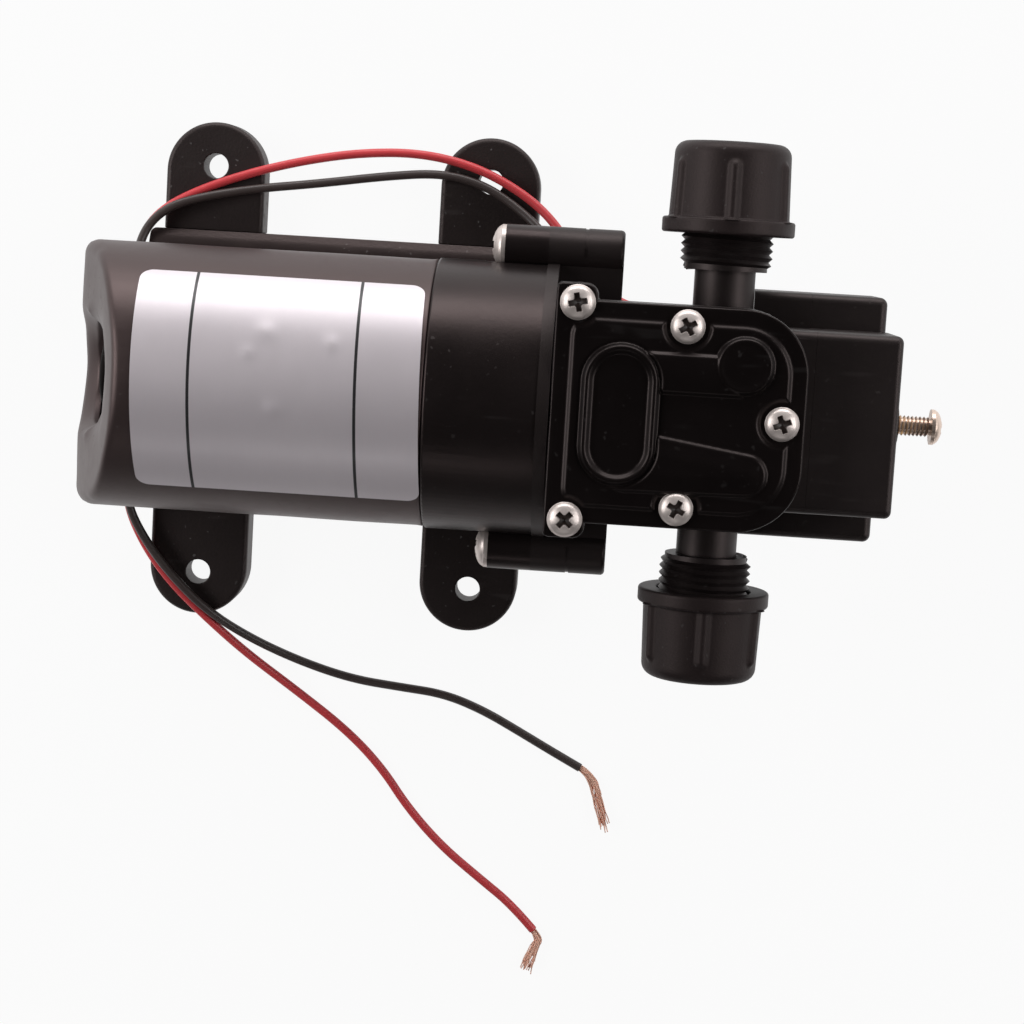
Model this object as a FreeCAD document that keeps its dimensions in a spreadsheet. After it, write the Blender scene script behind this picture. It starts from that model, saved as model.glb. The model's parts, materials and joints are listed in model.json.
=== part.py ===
import FreeCAD, Part
import math
import os
import re

import Sketcher

# Diaphragm water pump with a 12 V motor, a cam driven diaphragm and a pressure switch.
# Frame: origin at the centre of the four foot holes on the underside, +X along the motor
# shaft towards the pressure switch, +Y towards the inlet port, +Z up. Millimetres.

os.makedirs("parts", exist_ok=True)
doc = FreeCAD.newDocument("diaphragm_water_pump")

# Driving dimensions
sizes = {
    # feet and base
    "foot_pitch_along": 53.5,
    "foot_pitch_across": 79.6,
    "foot_width": 19.2,
    "foot_height": 7.0,
    "foot_tip_reach": 8.4,
    "foot_hole_radius": 2.4,
    "foot_root_width": 15.0,
    "foot_root_height": 3.0,
    "foot_root_depth": 5.0,
    "foot_rounding": 1.0,
    "base_rear": -38.5,
    "base_half_width": 27.3,
    "base_bottom": 1.2,
    "base_top": 10.6,
    "base_rounding": 1.2,
    # motor
    "shaft_height": 31.0,
    "shaft_radius": 2.5,
    "shaft_rear": -39.3,
    "shaft_front": 64.5,
    "running_gap": 0.03,
    "boot_rear": -48.3,
    "boot_radius": 24.7,
    "boot_wall": 1.7,
    "boot_shoulder": 4.5,
    "boot_inner_shoulder": 1.2,
    "boot_lean": 0.33,
    "boot_lean_start": -10.0,
    "boot_hole_radius": 9.5,
    "boot_front": 19.5,
    "can_wall": 1.6,
    "can_front": 30.0,
    "bell_face": -34.9,
    "bell_thickness": 1.2,
    "bell_chamfer": 2.5,
    "bell_hub_rear": -41.5,
    "bell_hub_radius": 6.8,
    "bell_hub_length": 2.4,
    "bush_radius": 4.5,
    "bush_length": 6.0,
    "magnet_thickness": 4.2,
    "magnet_rear": -21.0,
    "magnet_length": 40.0,
    "magnet_half_angle": 64.0,
    "air_gap": 0.6,
    "core_length": 34.0,
    "core_slot_count": 12,
    "core_slot_width": 2.6,
    "core_slot_depth": 6.5,
    "winding_radius": 13.5,
    "winding_length": 6.0,
    "winding_gap": 0.05,
    "commutator_radius": 6.0,
    "commutator_length": 7.0,
    "commutator_bars": 12,
    "brush_width": 4.0,
    "brush_length": 10.0,
    "brush_clearance": 0.3,
    "label_rear": -31.5,
    "label_front": 18.6,
    "label_thickness": 0.2,
    "label_half_angle": 51.5,
    # front housing and its two long screws
    "housing_radius": 25.0,
    "housing_front": 39.5,
    "housing_wall": 3.0,
    "bearing_radius": 8.0,
    "bearing_width": 5.0,
    "ear_offset": 27.9,
    "ear_radius": 4.0,
    "ear_rear": 31.5,
    "ear_groove": 46.0,
    "ear_front": 53.3,
    "ear_web_half_height": 2.6,
    "long_screw_radius": 2.0,
    "long_screw_head_radius": 3.9,
    "long_screw_head_height": 3.0,
    "long_screw_tip": 50.5,
    "screw_clearance": 0.15,
    "motor_screw_radius": 1.5,
    "motor_screw_head_radius": 2.8,
    "motor_screw_head_height": 1.8,
    "motor_screw_offset": 14.5,
    "motor_screw_length": 7.0,
    "base_screw_radius": 1.6,
    "base_screw_head_radius": 3.0,
    "base_screw_head_height": 2.0,
    "base_screw_offset": 6.0,
    "base_screw_place": 29.5,
    "base_screw_tip": 8.2,
    "base_screw_depth": 0.4,
    # pump body
    "flange_radius": 25.3,
    "flange_thickness": 2.2,
    "body_half_width": 18.6,
    "body_top": 50.0,
    "body_end": 88.0,
    "body_rounding": 1.5,
    "rim_height": 4.0,
    "cam_chamber_radius": 15.6,
    "cam_chamber_end": 67.0,
    "chamber_place": 59.0,
    "chamber_radius": 11.5,
    "end_block_start": 77.5,
    "end_block_half_width": 22.5,
    "end_block_bottom": 14.0,
    "end_block_top": 33.0,
    "upper_block_half_width": 16.2,
    # ports
    "port_place": 71.6,
    "port_height": 38.0,
    "port_neck_radius": 5.5,
    "port_bore_radius": 3.5,
    "thread_radius": 8.33,
    "thread_start": 25.8,
    "thread_end": 45.0,
    "thread_chamfer": 0.9,
    "passage_place": 74.3,
    "passage_offset": 9.7,
    "passage_radius": 2.6,
    "passage_inner_end": 4.5,
    # dust caps
    "cap_start": 32.2,
    "cap_body_radius": 10.75,
    "cap_flange_radius": 11.95,
    "cap_flange_thickness": 2.8,
    "cap_height": 16.4,
    "cap_bore_clearance": 0.3,
    "cap_rounding": 2.2,
    "cap_rib_count": 6,
    "cap_rib_width": 2.4,
    "cap_rib_height": 0.75,
    "cap_rib_reach": 10.8,
    "seal_thickness": 1.6,
    # stack of plates on the body
    "plate_left": 41.9,
    "plate_right": 86.5,
    "plate_half_width": 19.5,
    "plate_corner": 11.5,
    "tab_half_width": 22.3,
    "tab_end": 49.2,
    "tab_corner": 3.0,
    "plate_small_corner": 0.8,
    "valve_plate_thickness": 3.0,
    "gasket_thickness": 0.6,
    "lid_thickness": 2.6,
    "lid_plateau": 0.6,
    "lid_plateau_inset": 3.2,
    "lid_relief": 1.7,
    "lid_relief_draft": 0.5,
    "stadium_place": 54.0,
    "stadium_radius": 6.7,
    "stadium_half_spacing": 5.7,
    "stadium_wall": 1.5,
    "stadium_recess": 0.9,
    "boss_place": 75.3,
    "boss_offset": 9.7,
    "boss_radius": 5.05,
    "channel_half_width": 3.7,
    "lower_channel_end": 76.6,
    "lower_channel_offset": 9.3,
    "lower_channel_radius": 4.0,
    "lid_pocket_depth": 1.9,
    "lid_pocket_gap": 1.4,
    "lid_pocket_width": 12.0,
    "lid_pocket_corner": 2.5,
    "corner_screw_place": 45.7,
    "corner_screw_offset": 19.0,
    "middle_screw_place": 65.0,
    "middle_screw_offset": 15.9,
    "end_screw_place": 82.4,
    "lid_screw_radius": 1.5,
    "lid_screw_head_radius": 3.3,
    "lid_screw_head_height": 2.2,
    "lid_head_room": 0.8,
    "lid_screw_depth": 12.0,
    "cross_width": 0.9,
    "cross_length": 3.4,
    "cross_depth": 1.2,
    # diaphragm, rod and cam
    "throw": 1.4,
    "diaphragm_radius": 14.0,
    "diaphragm_thickness": 1.5,
    "diaphragm_rim_top": 46.5,
    "clamp_radius": 4.5,
    "clamp_thickness": 1.0,
    "clamp_screw_radius": 1.5,
    "clamp_screw_length": 5.6,
    "rod_foot_radius": 6.0,
    "rod_foot_thickness": 1.5,
    "rod_ring_radius": 12.3,
    "rod_width": 6.0,
    "rod_neck_width": 7.0,
    "race_outer_radius": 9.5,
    "race_inner_radius": 5.0,
    "race_wall": 1.3,
    "race_width": 5.0,
    "ball_count": 8,
    "hub_radius": 6.6,
    "hub_length": 8.5,
    "counterweight_radius": 12.2,
    "counterweight_thickness": 4.0,
    "grub_radius": 1.5,
    "grub_length": 3.6,
    "valve_recess": 0.9,
    "valve_place": 54.8,
    "valve_offset": 5.8,
    "valve_radius": 3.6,
    "valve_thickness": 0.8,
    "valve_stem_radius": 0.9,
    "valve_stem_clearance": 0.08,
    "valve_lift": 0.8,
    "valve_port_radius": 0.7,
    "valve_port_pitch": 2.3,
    # pressure switch
    "switch_height": 39.5,
    "switch_end": 101.8,
    "switch_top_end": 103.3,
    "switch_half_height": 10.3,
    "switch_wall": 1.7,
    "switch_cavity_half_width": 14.0,
    "switch_rounding": 1.4,
    "switch_disc_radius": 3.65,
    "switch_disc_height": 0.9,
    "sensor_radius": 8.6,
    "sensor_chamber_radius": 7.2,
    "sensor_chamber_depth": 1.2,
    "sensor_thickness": 1.5,
    "sensor_proud": 0.3,
    "plunger_radius": 5.6,
    "plunger_thickness": 1.5,
    "plunger_stem_radius": 2.0,
    "plunger_stem_length": 2.5,
    "arm_width": 5.0,
    "arm_bottom": 17.0,
    "spring_radius": 3.4,
    "spring_wire_radius": 0.4,
    "spring_turns": 5,
    "seat_radius": 4.4,
    "seat_thickness": 1.5,
    "seat_depth": 6.0,
    "adjuster_radius": 1.85,
    "adjuster_head_radius": 3.2,
    "adjuster_head_height": 3.0,
    "adjuster_stand_out": 9.9,
    "insert_radius": 2.9,
    "insert_length": 4.4,
    "microswitch_length": 12.8,
    "microswitch_depth": 6.5,
    "microswitch_thickness": 5.8,
    "microswitch_place": 91.2,
    "button_radius": 0.9,
    "contact_gap": 0.05,
    "terminal_width": 1.6,
    "terminal_length": 1.6,
    "terminal_thickness": 0.5,
    "terminal_pitch": 4.6,
    "switch_screw_offset": 18.6,
    "switch_screw_height": 23.5,
    "switch_screw_radius": 1.5,
    "switch_screw_head_radius": 2.9,
    "switch_screw_head_height": 2.0,
    "switch_screw_depth": 6.0,
    "switch_bore_depth": 3.6,
    # wires
    "wire_radius": 0.85,
    "grommet_radius": 2.3,
    "grommet_length": 3.4,
    "grommet_place": -41.0,
    "grommet_across": 17.5,
    "grommet_height": 13.5,
    "wire_spacing": 1.9,
    "wire_entry_across": 16.0,
    "wire_entry_height": 17.2,
    "strand_radius": 1.3,
    "strand_tip_radius": 0.4,
    "strand_straight": 1.2,
    "ground_clearance": 0.02,
}

sheet = doc.addObject("Spreadsheet::Sheet", "sizes")
for row, (alias, size) in enumerate(sizes.items(), 1):
    sheet.set("A%d" % row, alias)
    sheet.set("B%d" % row, str(size))
    sheet.setAlias("B%d" % row, alias)
doc.recompute()

nodes = {}


def bound(text):
    # names of sizes become references to the sheet
    def named(word):
        return "sizes." + word[0] if word[0] in sizes else word[0]
    return re.sub(r"[a-z][a-z_]+", named, str(text))


def number(text):
    result = sheet.evalExpression(bound(text))
    return float(getattr(result, "Value", result))


def point(along, across, up):
    return FreeCAD.Vector(number(along), number(across), number(up))


# Sketches: every corner and centre is held by distances bound to the sheet
def hold(sketch, shape, end, across, up):
    for kind, text in (("DistanceX", across), ("DistanceY", up)):
        rule = sketch.addConstraint(Sketcher.Constraint(kind, -1, 1, shape, end, number(text)))
        sketch.setExpression("Constraints[%d]" % rule, bound(text))


def set_radius(sketch, shape, text):
    rule = sketch.addConstraint(Sketcher.Constraint("Radius", shape, number(text)))
    sketch.setExpression("Constraints[%d]" % rule, bound(text))


def draw_circle(sketch, across, up, radius):
    centre = FreeCAD.Vector(number(across), number(up), 0)
    shape = sketch.addGeometry(Part.Circle(centre, FreeCAD.Vector(0, 0, 1), number(radius)), False)
    hold(sketch, shape, 3, across, up)
    set_radius(sketch, shape, radius)


def draw_outline(sketch, corners):
    # a corner is (across, up) or (across, up, radius of its rounding)
    places = [FreeCAD.Vector(number(corner[0]), number(corner[1]), 0) for corner in corners]
    radii = [number(corner[2]) if len(corner) > 2 else 0 for corner in corners]
    count = len(corners)
    lines = []
    arcs = {}
    trims = []
    for index, place in enumerate(places):
        back = (places[index - 1] - place).normalize()
        ahead = (places[(index + 1) % count] - place).normalize()
        half = back.getAngle(ahead) / 2
        trims.append(radii[index] / math.tan(half))
        if radii[index]:
            middle = (back + ahead).normalize()
            centre = place + middle * (radii[index] / math.sin(half))
            left_turn = back.cross(ahead).z < 0
            first, last = (back, ahead) if left_turn else (ahead, back)
            ends = [place + side * trims[index] - centre for side in (first, last)]
            angles = [math.atan2(end.y, end.x) for end in ends]
            circle = Part.Circle(centre, FreeCAD.Vector(0, 0, 1), radii[index])
            if angles[1] < angles[0]:
                angles[1] += 2 * math.pi
            arcs[index] = (Part.ArcOfCircle(circle, *angles), left_turn)
    for index, place in enumerate(places):
        after = (index + 1) % count
        along = (places[after] - place).normalize()
        start = place + along * trims[index]
        end = places[after] - along * trims[after]
        lines.append(sketch.addGeometry(Part.LineSegment(start, end), False))
    for index, corner in enumerate(corners):
        arriving, leaving = lines[index - 1], lines[index]
        if index not in arcs:
            sketch.addConstraint(Sketcher.Constraint("Coincident", arriving, 2, leaving, 1))
            hold(sketch, leaving, 1, corner[0], corner[1])
            continue
        shape, left_turn = arcs[index]
        arc = sketch.addGeometry(shape, False)
        entry, exit_end = (1, 2) if left_turn else (2, 1)
        sketch.addConstraint(Sketcher.Constraint("Tangent", arriving, 2, arc, entry))
        sketch.addConstraint(Sketcher.Constraint("Tangent", arc, exit_end, leaving, 1))
        set_radius(sketch, arc, corner[2])
        mark = sketch.addGeometry(Part.Point(places[index]), True)
        sketch.addConstraint(Sketcher.Constraint("PointOnObject", mark, 1, arriving))
        sketch.addConstraint(Sketcher.Constraint("PointOnObject", mark, 1, leaving))
        hold(sketch, mark, 1, corner[0], corner[1])


def new_sketch(body, plane, offset, loops):
    sketch = body.newObject("Sketcher::SketchObject", body.Name + "_sketch")
    plane_object = [item for item in body.Origin.OriginFeatures if item.Role == plane][0]
    sketch.AttachmentSupport = [(plane_object, "")]
    sketch.MapMode = "FlatFace"
    if offset is not None:
        sketch.setExpression("AttachmentOffset.Base.z", bound(offset))
    for loop in loops:
        if isinstance(loop, list):
            draw_outline(sketch, loop)
        else:
            draw_circle(sketch, *loop)
    return sketch


# Bodies: a body may be moved bodily by bound distances and turned about Z
def new_body(label, along="0", across="0", up="0", turn=0, kept=True):
    body = doc.addObject("PartDesign::Body", label)
    body.Label = label
    if turn:
        body.Placement = FreeCAD.Placement(FreeCAD.Vector(), FreeCAD.Rotation(turn, 0, 0))
    for axis, text in (("x", along), ("y", across), ("z", up)):
        body.setExpression("Placement.Base." + axis, bound(text))
    if kept:
        nodes[label] = body
    return body


def volume(body):
    doc.recompute()
    return body.Shape.Volume if body.Shape.Solids else 0.0


def finish_feature(body, feature, cut, before):
    body.Tip = feature
    after = volume(body)
    if cut and not after < before or not cut and not after > before:
        raise RuntimeError("%s of %s changes nothing: %s" % (feature.Name, body.Label, feature.State))
    return feature


# A prism grows from start towards the plane's positive world axis
def prism(body, plane, start, length, loops, cut=False):
    before = volume(body)
    flipped = plane == "XZ_Plane"
    sketch = new_sketch(body, plane, "-(%s)" % start if flipped else start, loops)
    kind = "PartDesign::Pocket" if cut else "PartDesign::Pad"
    feature = body.newObject(kind, body.Name + ("_pocket" if cut else "_pad"))
    feature.Profile = sketch
    feature.setExpression("Length", bound(length))
    feature.Reversed = flipped != cut
    return finish_feature(body, feature, cut, before)


# A turned profile is given as (distance along the axis, radius) whatever the axis is
def turned(body, axis, corners, cut=False):
    before = volume(body)
    if axis == "Z":
        corners = [(corner[1], corner[0]) + tuple(corner[2:]) for corner in corners]
    sketch = new_sketch(body, "YZ_Plane" if axis == "Y" else "XZ_Plane", None, [corners])
    kind = "PartDesign::Groove" if cut else "PartDesign::Revolution"
    feature = body.newObject(kind, body.Name + ("_groove" if cut else "_turn"))
    feature.Profile = sketch
    feature.ReferenceAxis = (sketch, ["V_Axis" if axis == "Z" else "H_Axis"])
    feature.Angle = 360
    return finish_feature(body, feature, cut, before)


def repeated(body, feature, axis, count):
    pattern = body.newObject("PartDesign::PolarPattern", body.Name + "_pattern")
    pattern.Originals = [feature]
    axis_object = [item for item in body.Origin.OriginFeatures if item.Role == axis + "_Axis"][0]
    pattern.Axis = (axis_object, [""])
    pattern.Angle = 360
    pattern.setExpression("Occurrences", bound(count))
    body.Tip = pattern
    doc.recompute()


def eased(body, radius, chosen, kind="PartDesign::Fillet"):
    doc.recompute()
    base = body.Tip
    names = ["Edge%d" % (index + 1) for index, edge in enumerate(base.Shape.Edges) if chosen(edge)]
    if not names:
        raise RuntimeError("no edge of %s is eased" % body.Label)
    feature = body.newObject(kind, body.Name + "_ease")
    feature.Base = (base, names)
    feature.setExpression("Size" if kind.endswith("Chamfer") else "Radius", bound(radius))
    body.Tip = feature
    doc.recompute()


# Edge tests, on the whole edge, within a thousandth
def lies_at(edge, axis, text):
    box = edge.BoundBox
    low, high = {"x": (box.XMin, box.XMax), "y": (box.YMin, box.YMax), "z": (box.ZMin, box.ZMax)}[axis]
    return abs(low - number(text)) < 1e-3 and abs(high - number(text)) < 1e-3


def is_round(edge, radius):
    return isinstance(edge.Curve, Part.Circle) and abs(edge.Curve.Radius - number(radius)) < 1e-3


# Plain turned pieces from Part primitives
TURNS = {
    "X": FreeCAD.Rotation(FreeCAD.Vector(0, 1, 0), 90),
    "Y": FreeCAD.Rotation(FreeCAD.Vector(1, 0, 0), -90),
    "Z": FreeCAD.Rotation(),
}


def rod(label, axis, start, length, radius, centre=("0", "0"), kept=True):
    item = doc.addObject("Part::Cylinder", label)
    item.Label = label
    item.setExpression("Radius", bound(radius))
    item.setExpression("Height", bound(length))
    item.Placement = FreeCAD.Placement(FreeCAD.Vector(), TURNS[axis])
    others = [name for name in "XYZ" if name != axis]
    item.setExpression("Placement.Base." + axis.lower(), bound(start))
    for name, text in zip(others, centre):
        item.setExpression("Placement.Base." + name.lower(), bound(text))
    if kept:
        nodes[label] = item
    return item


def block(label, low, spans, kept=True):
    item = doc.addObject("Part::Box", label)
    item.Label = label
    for name, text in zip(("Length", "Width", "Height"), spans):
        item.setExpression(name, bound(text))
    for name, text in zip("xyz", low):
        item.setExpression("Placement.Base." + name, bound(text))
    if kept:
        nodes[label] = item
    return item


def joined(label, kind, items, kept=True):
    result = doc.addObject("Part::" + kind, label)
    result.Label = label
    if kind == "Cut":
        result.Base, result.Tool = items
    else:
        result.Shapes = items
    if kept:
        nodes[label] = result
    return result


def ring(label, axis, start, length, outer, inner, centre=("0", "0"), kept=True):
    whole = rod(label + "_blank", axis, start, length, outer, centre, kept=False)
    bore = rod(label + "_bore", axis, "%s - 1" % start, "%s + 2" % length, inner, centre, kept=False)
    return joined(label, "Cut", [whole, bore], kept)


def free_shape(label, shape):
    item = doc.addObject("Part::Feature", label)
    item.Label = label
    item.Shape = shape
    item.Placement = FreeCAD.Placement()
    nodes[label] = item
    return item


# Base: a moulded saddle under the motor, with a side pocket for the root of each foot
def make_base():
    base = new_body("base_plate")
    sides = [("base_rear", "-base_half_width", "base_rounding"),
             ("housing_front", "-base_half_width", "base_rounding"),
             ("housing_front", "base_half_width", "base_rounding"),
             ("base_rear", "base_half_width", "base_rounding")]
    prism(base, "XY_Plane", "base_bottom", "base_top - base_bottom", [sides])
    saddles = (("base_rear - 1", "boot_front - base_rear + 1", "boot_radius"),
               ("boot_front", "housing_front - boot_front + 1", "housing_radius"))
    for start, length, radius in saddles:
        prism(base, "YZ_Plane", start, length, [("0", "shaft_height", radius)], cut=True)
    for end in (-1, 1):
        centre = "%d*foot_pitch_along/2" % end
        slot = [(centre + side + "foot_root_width/2", "base_bottom + " + level)
                for side, level in (("-", "1.4"), ("+", "1.4"), ("+", "1.4 + foot_root_height"),
                                    ("-", "1.4 + foot_root_height"))]
        for start in ("-base_half_width", "base_half_width - foot_root_depth"):
            prism(base, "XZ_Plane", start, "foot_root_depth", [slot], cut=True)
    for side in ("-", ""):
        place = ("base_screw_place", side + "base_screw_offset")
        prism(base, "XY_Plane", "base_bottom", "base_top",
              [place + ("base_screw_radius + screw_clearance",)], cut=True)
        prism(base, "XY_Plane", "base_bottom", "base_screw_head_height + base_screw_depth",
              [place + ("base_screw_head_radius + screw_clearance",)], cut=True)


def make_foot(label, end, side):
    # drawn for the +Y side; the feet on the other side are the same piece turned round
    foot = new_body(label, along="%d*foot_pitch_along/2" % end, turn=0 if side > 0 else 180)
    tip = "foot_pitch_across/2 + foot_tip_reach"
    half = "foot_width/2"
    pad = [("-" + half, "base_half_width"), (half, "base_half_width"),
           (half, tip, "foot_width/2 - 0.05"), ("-" + half, tip, "foot_width/2 - 0.05")]
    prism(foot, "XY_Plane", "0", "foot_height", [pad])
    eased(foot, "foot_rounding", lambda edge: lies_at(edge, "z", "foot_height")
          and edge.BoundBox.YMax > number("base_half_width") + 1)
    root = [("-foot_root_width/2", "base_half_width - foot_root_depth"),
            ("foot_root_width/2", "base_half_width - foot_root_depth"),
            ("foot_root_width/2", "base_half_width + 1"), ("-foot_root_width/2", "base_half_width + 1")]
    prism(foot, "XY_Plane", "base_bottom + 1.4", "foot_root_height", [root])
    prism(foot, "XY_Plane", "0", "foot_height", [("0", "foot_pitch_across/2", "foot_hole_radius")], cut=True)


# Motor: rubber boot, steel can, bell, magnets, brushes and the turning parts
def boot_form(label, radius, rear, shoulder, front):
    # a plain sleeve closed by an end wall that leans forward above the shaft, its rim rounded
    form = new_body(label, up="shaft_height", kept=False)
    turned(form, "X", [(rear, "0"), (rear, radius), (front, radius), (front, "0")])
    slope = "(%s) + boot_lean*(%s + 1 - boot_lean_start)" % (rear, radius)
    wedge = [("%s - 1" % rear, "boot_lean_start - 1/boot_lean"), (slope, "%s + 1" % radius),
             ("%s - 1" % rear, "%s + 1" % radius)]
    prism(form, "XZ_Plane", "-boot_radius - 2", "2*boot_radius + 4", [wedge], cut=True)
    eased(form, shoulder, lambda edge: edge.BoundBox.XMax < number("bell_face")
          and edge.BoundBox.YLength > number(radius))
    return form


def grommet_axis(side):
    # where the wires leave the boot: a point on its surface, the way out and the offset of the upper wire
    way = FreeCAD.Vector(0.1, 0.85 * side, -0.5).normalize()
    across = way.cross(FreeCAD.Vector(0, 0, 1)).normalize()
    upward = across.cross(way)
    return point("grommet_place", "%d*grommet_across" % side, "grommet_height"), way, upward


def wire_grommet(foot, way, upward, length):
    # a soft bush with one hole for each of its two wires
    bush = Part.makeCylinder(number("grommet_radius"), length, foot, way)
    for side in (-1, 1):
        start = foot - way + upward * (side * number("wire_spacing") / 2)
        bush = bush.cut(Part.makeCylinder(number("wire_radius"), length + 2, start, way))
    return bush


def make_grommets():
    length = number("grommet_length")
    bushes = []
    for side in (1, -1):
        centre, way, upward = grommet_axis(side)
        bushes.append(wire_grommet(centre - way * (length / 2), way, upward, length))
    foot = point("end_block_start - 1", "wire_entry_across", "wire_entry_height")
    bushes.append(wire_grommet(foot, FreeCAD.Vector(1, 0, 0), ENTRY_SPREAD, length))
    free_shape("wire_grommets", Part.makeCompound(bushes))


ENTRY_SPREAD = FreeCAD.Vector(0, 0.74, 0.67).normalize()


def make_motor_shell():
    outer = "boot_radius - boot_wall"
    forms = [boot_form("boot_outer", "boot_radius", "boot_rear", "boot_shoulder", "boot_front"),
             boot_form("boot_inner", outer, "boot_rear + boot_wall", "boot_inner_shoulder", "boot_front + 1")]
    holes = [forms[1], rod("boot_hole", "X", "boot_rear - 1", "12", "boot_hole_radius", ("0", "shaft_height"),
                           kept=False)]
    for side in (1, -1):
        centre, way, upward = grommet_axis(side)
        hole = doc.addObject("Part::Cylinder", "boot_wire_hole")
        hole.setExpression("Radius", bound("grommet_radius"))
        hole.setExpression("Height", bound("2*grommet_length"))
        turn = FreeCAD.Rotation(FreeCAD.Vector(0, 0, 1), way)
        hole.Placement = FreeCAD.Placement(centre - way * number("grommet_length"), turn)
        holes.append(hole)
    joined("motor_boot", "Cut", [forms[0], joined("boot_holes", "MultiFuse", holes, kept=False)])
    can = new_body("motor_can", up="shaft_height")
    inner = outer + " - can_wall"
    rear = "bell_face"
    turned(can, "X", [(rear, outer), ("can_front", outer, "1.2"), ("can_front", "bush_radius"),
                      ("can_front - can_wall", "bush_radius"), ("can_front - can_wall", inner),
                      (rear, inner)])
    prism(can, "YZ_Plane", "can_front - 2*can_wall", "3*can_wall",
          [(side + "motor_screw_offset", "0", "motor_screw_radius + screw_clearance") for side in ("-", "")],
          cut=True)
    bell = new_body("rear_bell", up="shaft_height")
    hub_end = rear + " + bell_hub_length"
    plate = rear + " - bell_thickness"
    turned(bell, "X", [("bell_hub_rear", "0"), ("bell_hub_rear", "bell_hub_radius", "1"),
                       (plate, "bell_hub_radius"), (plate, outer + " - bell_chamfer"), (rear, outer),
                       (rear, inner), (rear + " + 2", inner), (rear + " + 2", "bell_hub_radius"),
                       (hub_end, "bell_hub_radius"), (hub_end, "0")])
    turned(bell, "X", [("bell_hub_rear + 2", "0"), ("bell_hub_rear + 2", "bush_radius"),
                       (hub_end, "bush_radius"), (hub_end, "0")], cut=True)
    for label, start in (("rear_bush", rear + " - 4"), ("front_bush", "can_front - can_wall - 3")):
        ring(label, "X", start, "bush_length", "bush_radius", "shaft_radius + running_gap",
             ("0", "shaft_height"))


CORE_START = "magnet_rear + magnet_length/2 - core_length/2"


def make_magnets():
    outer = number("boot_radius - boot_wall - can_wall")
    inner = outer - number("magnet_thickness")
    half = number("magnet_half_angle")
    whole = []
    for middle in (90, 270):
        axis = FreeCAD.Vector(1, 0, 0)
        foot = point("magnet_rear", "0", "shaft_height")
        tube = Part.makeCylinder(outer, number("magnet_length"), foot, axis)
        bore = Part.makeCylinder(inner, number("magnet_length") + 2, foot - axis, axis)
        span = outer * 2
        corners = [foot - axis + FreeCAD.Vector(0, span * math.cos(math.radians(angle)),
                                                span * math.sin(math.radians(angle)))
                   for angle in (middle - half, middle, middle + half)]
        wedge = Part.Face(Part.makePolygon([foot - axis] + corners + [foot - axis]))
        wedge = wedge.extrude(axis * (number("magnet_length") + 2))
        whole.append(tube.cut(bore).common(wedge).Solids[0])
    free_shape("field_magnets", Part.makeCompound(whole))


def make_brushes():
    inner = number("commutator_radius + brush_clearance")
    low = number(CORE_START + " - winding_length - 1 - commutator_length/2 - brush_width/2")
    shapes = []
    for side in (-1, 1):
        first = inner if side > 0 else -inner - number("brush_length")
        shapes.append(Part.makeBox(number("brush_width"), number("brush_length"), number("brush_width"),
                                   FreeCAD.Vector(low, first, number("shaft_height - brush_width/2"))))
    free_shape("brushes", Part.makeCompound(shapes))


def make_armature():
    start = CORE_START
    axle = new_body("motor_shaft", up="shaft_height")
    turned(axle, "X", [("shaft_rear", "0"), ("shaft_rear", "shaft_radius - 0.3"),
                       ("shaft_rear + 0.3", "shaft_radius"), ("shaft_front - 0.4", "shaft_radius"),
                       ("shaft_front", "shaft_radius - 0.4"), ("shaft_front", "0")])
    core_radius = "boot_radius - boot_wall - can_wall - magnet_thickness - air_gap"
    core = new_body("armature_core", up="shaft_height")
    turned(core, "X", [(start, "shaft_radius"), (start, core_radius), (start + " + core_length", core_radius),
                       (start + " + core_length", "shaft_radius")])
    slot = [("-core_slot_width/2", core_radius + " - core_slot_depth"),
            ("core_slot_width/2", core_radius + " - core_slot_depth"),
            ("core_slot_width/2", core_radius + " + 1"), ("-core_slot_width/2", core_radius + " + 1")]
    groove = prism(core, "YZ_Plane", start, "core_length", [slot], cut=True)
    repeated(core, groove, "X", "core_slot_count")
    windings = new_body("armature_windings", up="shaft_height")
    inner = "shaft_radius + 1"
    rear = start + " - winding_length"
    turned(windings, "X", [(rear, inner), (rear, "winding_radius", "2.5"), (start, "winding_radius"),
                           (start, inner)])
    floor = core_radius + " - core_slot_depth + winding_gap"
    wire = [("winding_gap - core_slot_width/2", floor), ("core_slot_width/2 - winding_gap", floor),
            ("core_slot_width/2 - winding_gap", core_radius + " - 1.2"),
            ("winding_gap - core_slot_width/2", core_radius + " - 1.2")]
    coil = prism(windings, "YZ_Plane", start + " - 1", "core_length + 2", [wire])
    repeated(windings, coil, "X", "core_slot_count")
    front = start + " + core_length"
    turned(windings, "X", [(front, inner), (front, "winding_radius"),
                           (front + " + winding_length", "winding_radius", "2.5"),
                           (front + " + winding_length", inner)])
    segments = new_body("commutator", up="shaft_height")
    first = start + " - winding_length - 1 - commutator_length"
    turned(segments, "X", [(first, "shaft_radius"), (first, "commutator_radius"),
                           (first + " + commutator_length", "commutator_radius"),
                           (first + " + commutator_length", "shaft_radius")])
    gap = [("-0.25", "commutator_radius - 0.8"), ("0.25", "commutator_radius - 0.8"),
           ("0.25", "commutator_radius + 1"), ("-0.25", "commutator_radius + 1")]
    repeated(segments, prism(segments, "YZ_Plane", first, "commutator_length", [gap], cut=True), "X",
             "commutator_bars")


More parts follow.
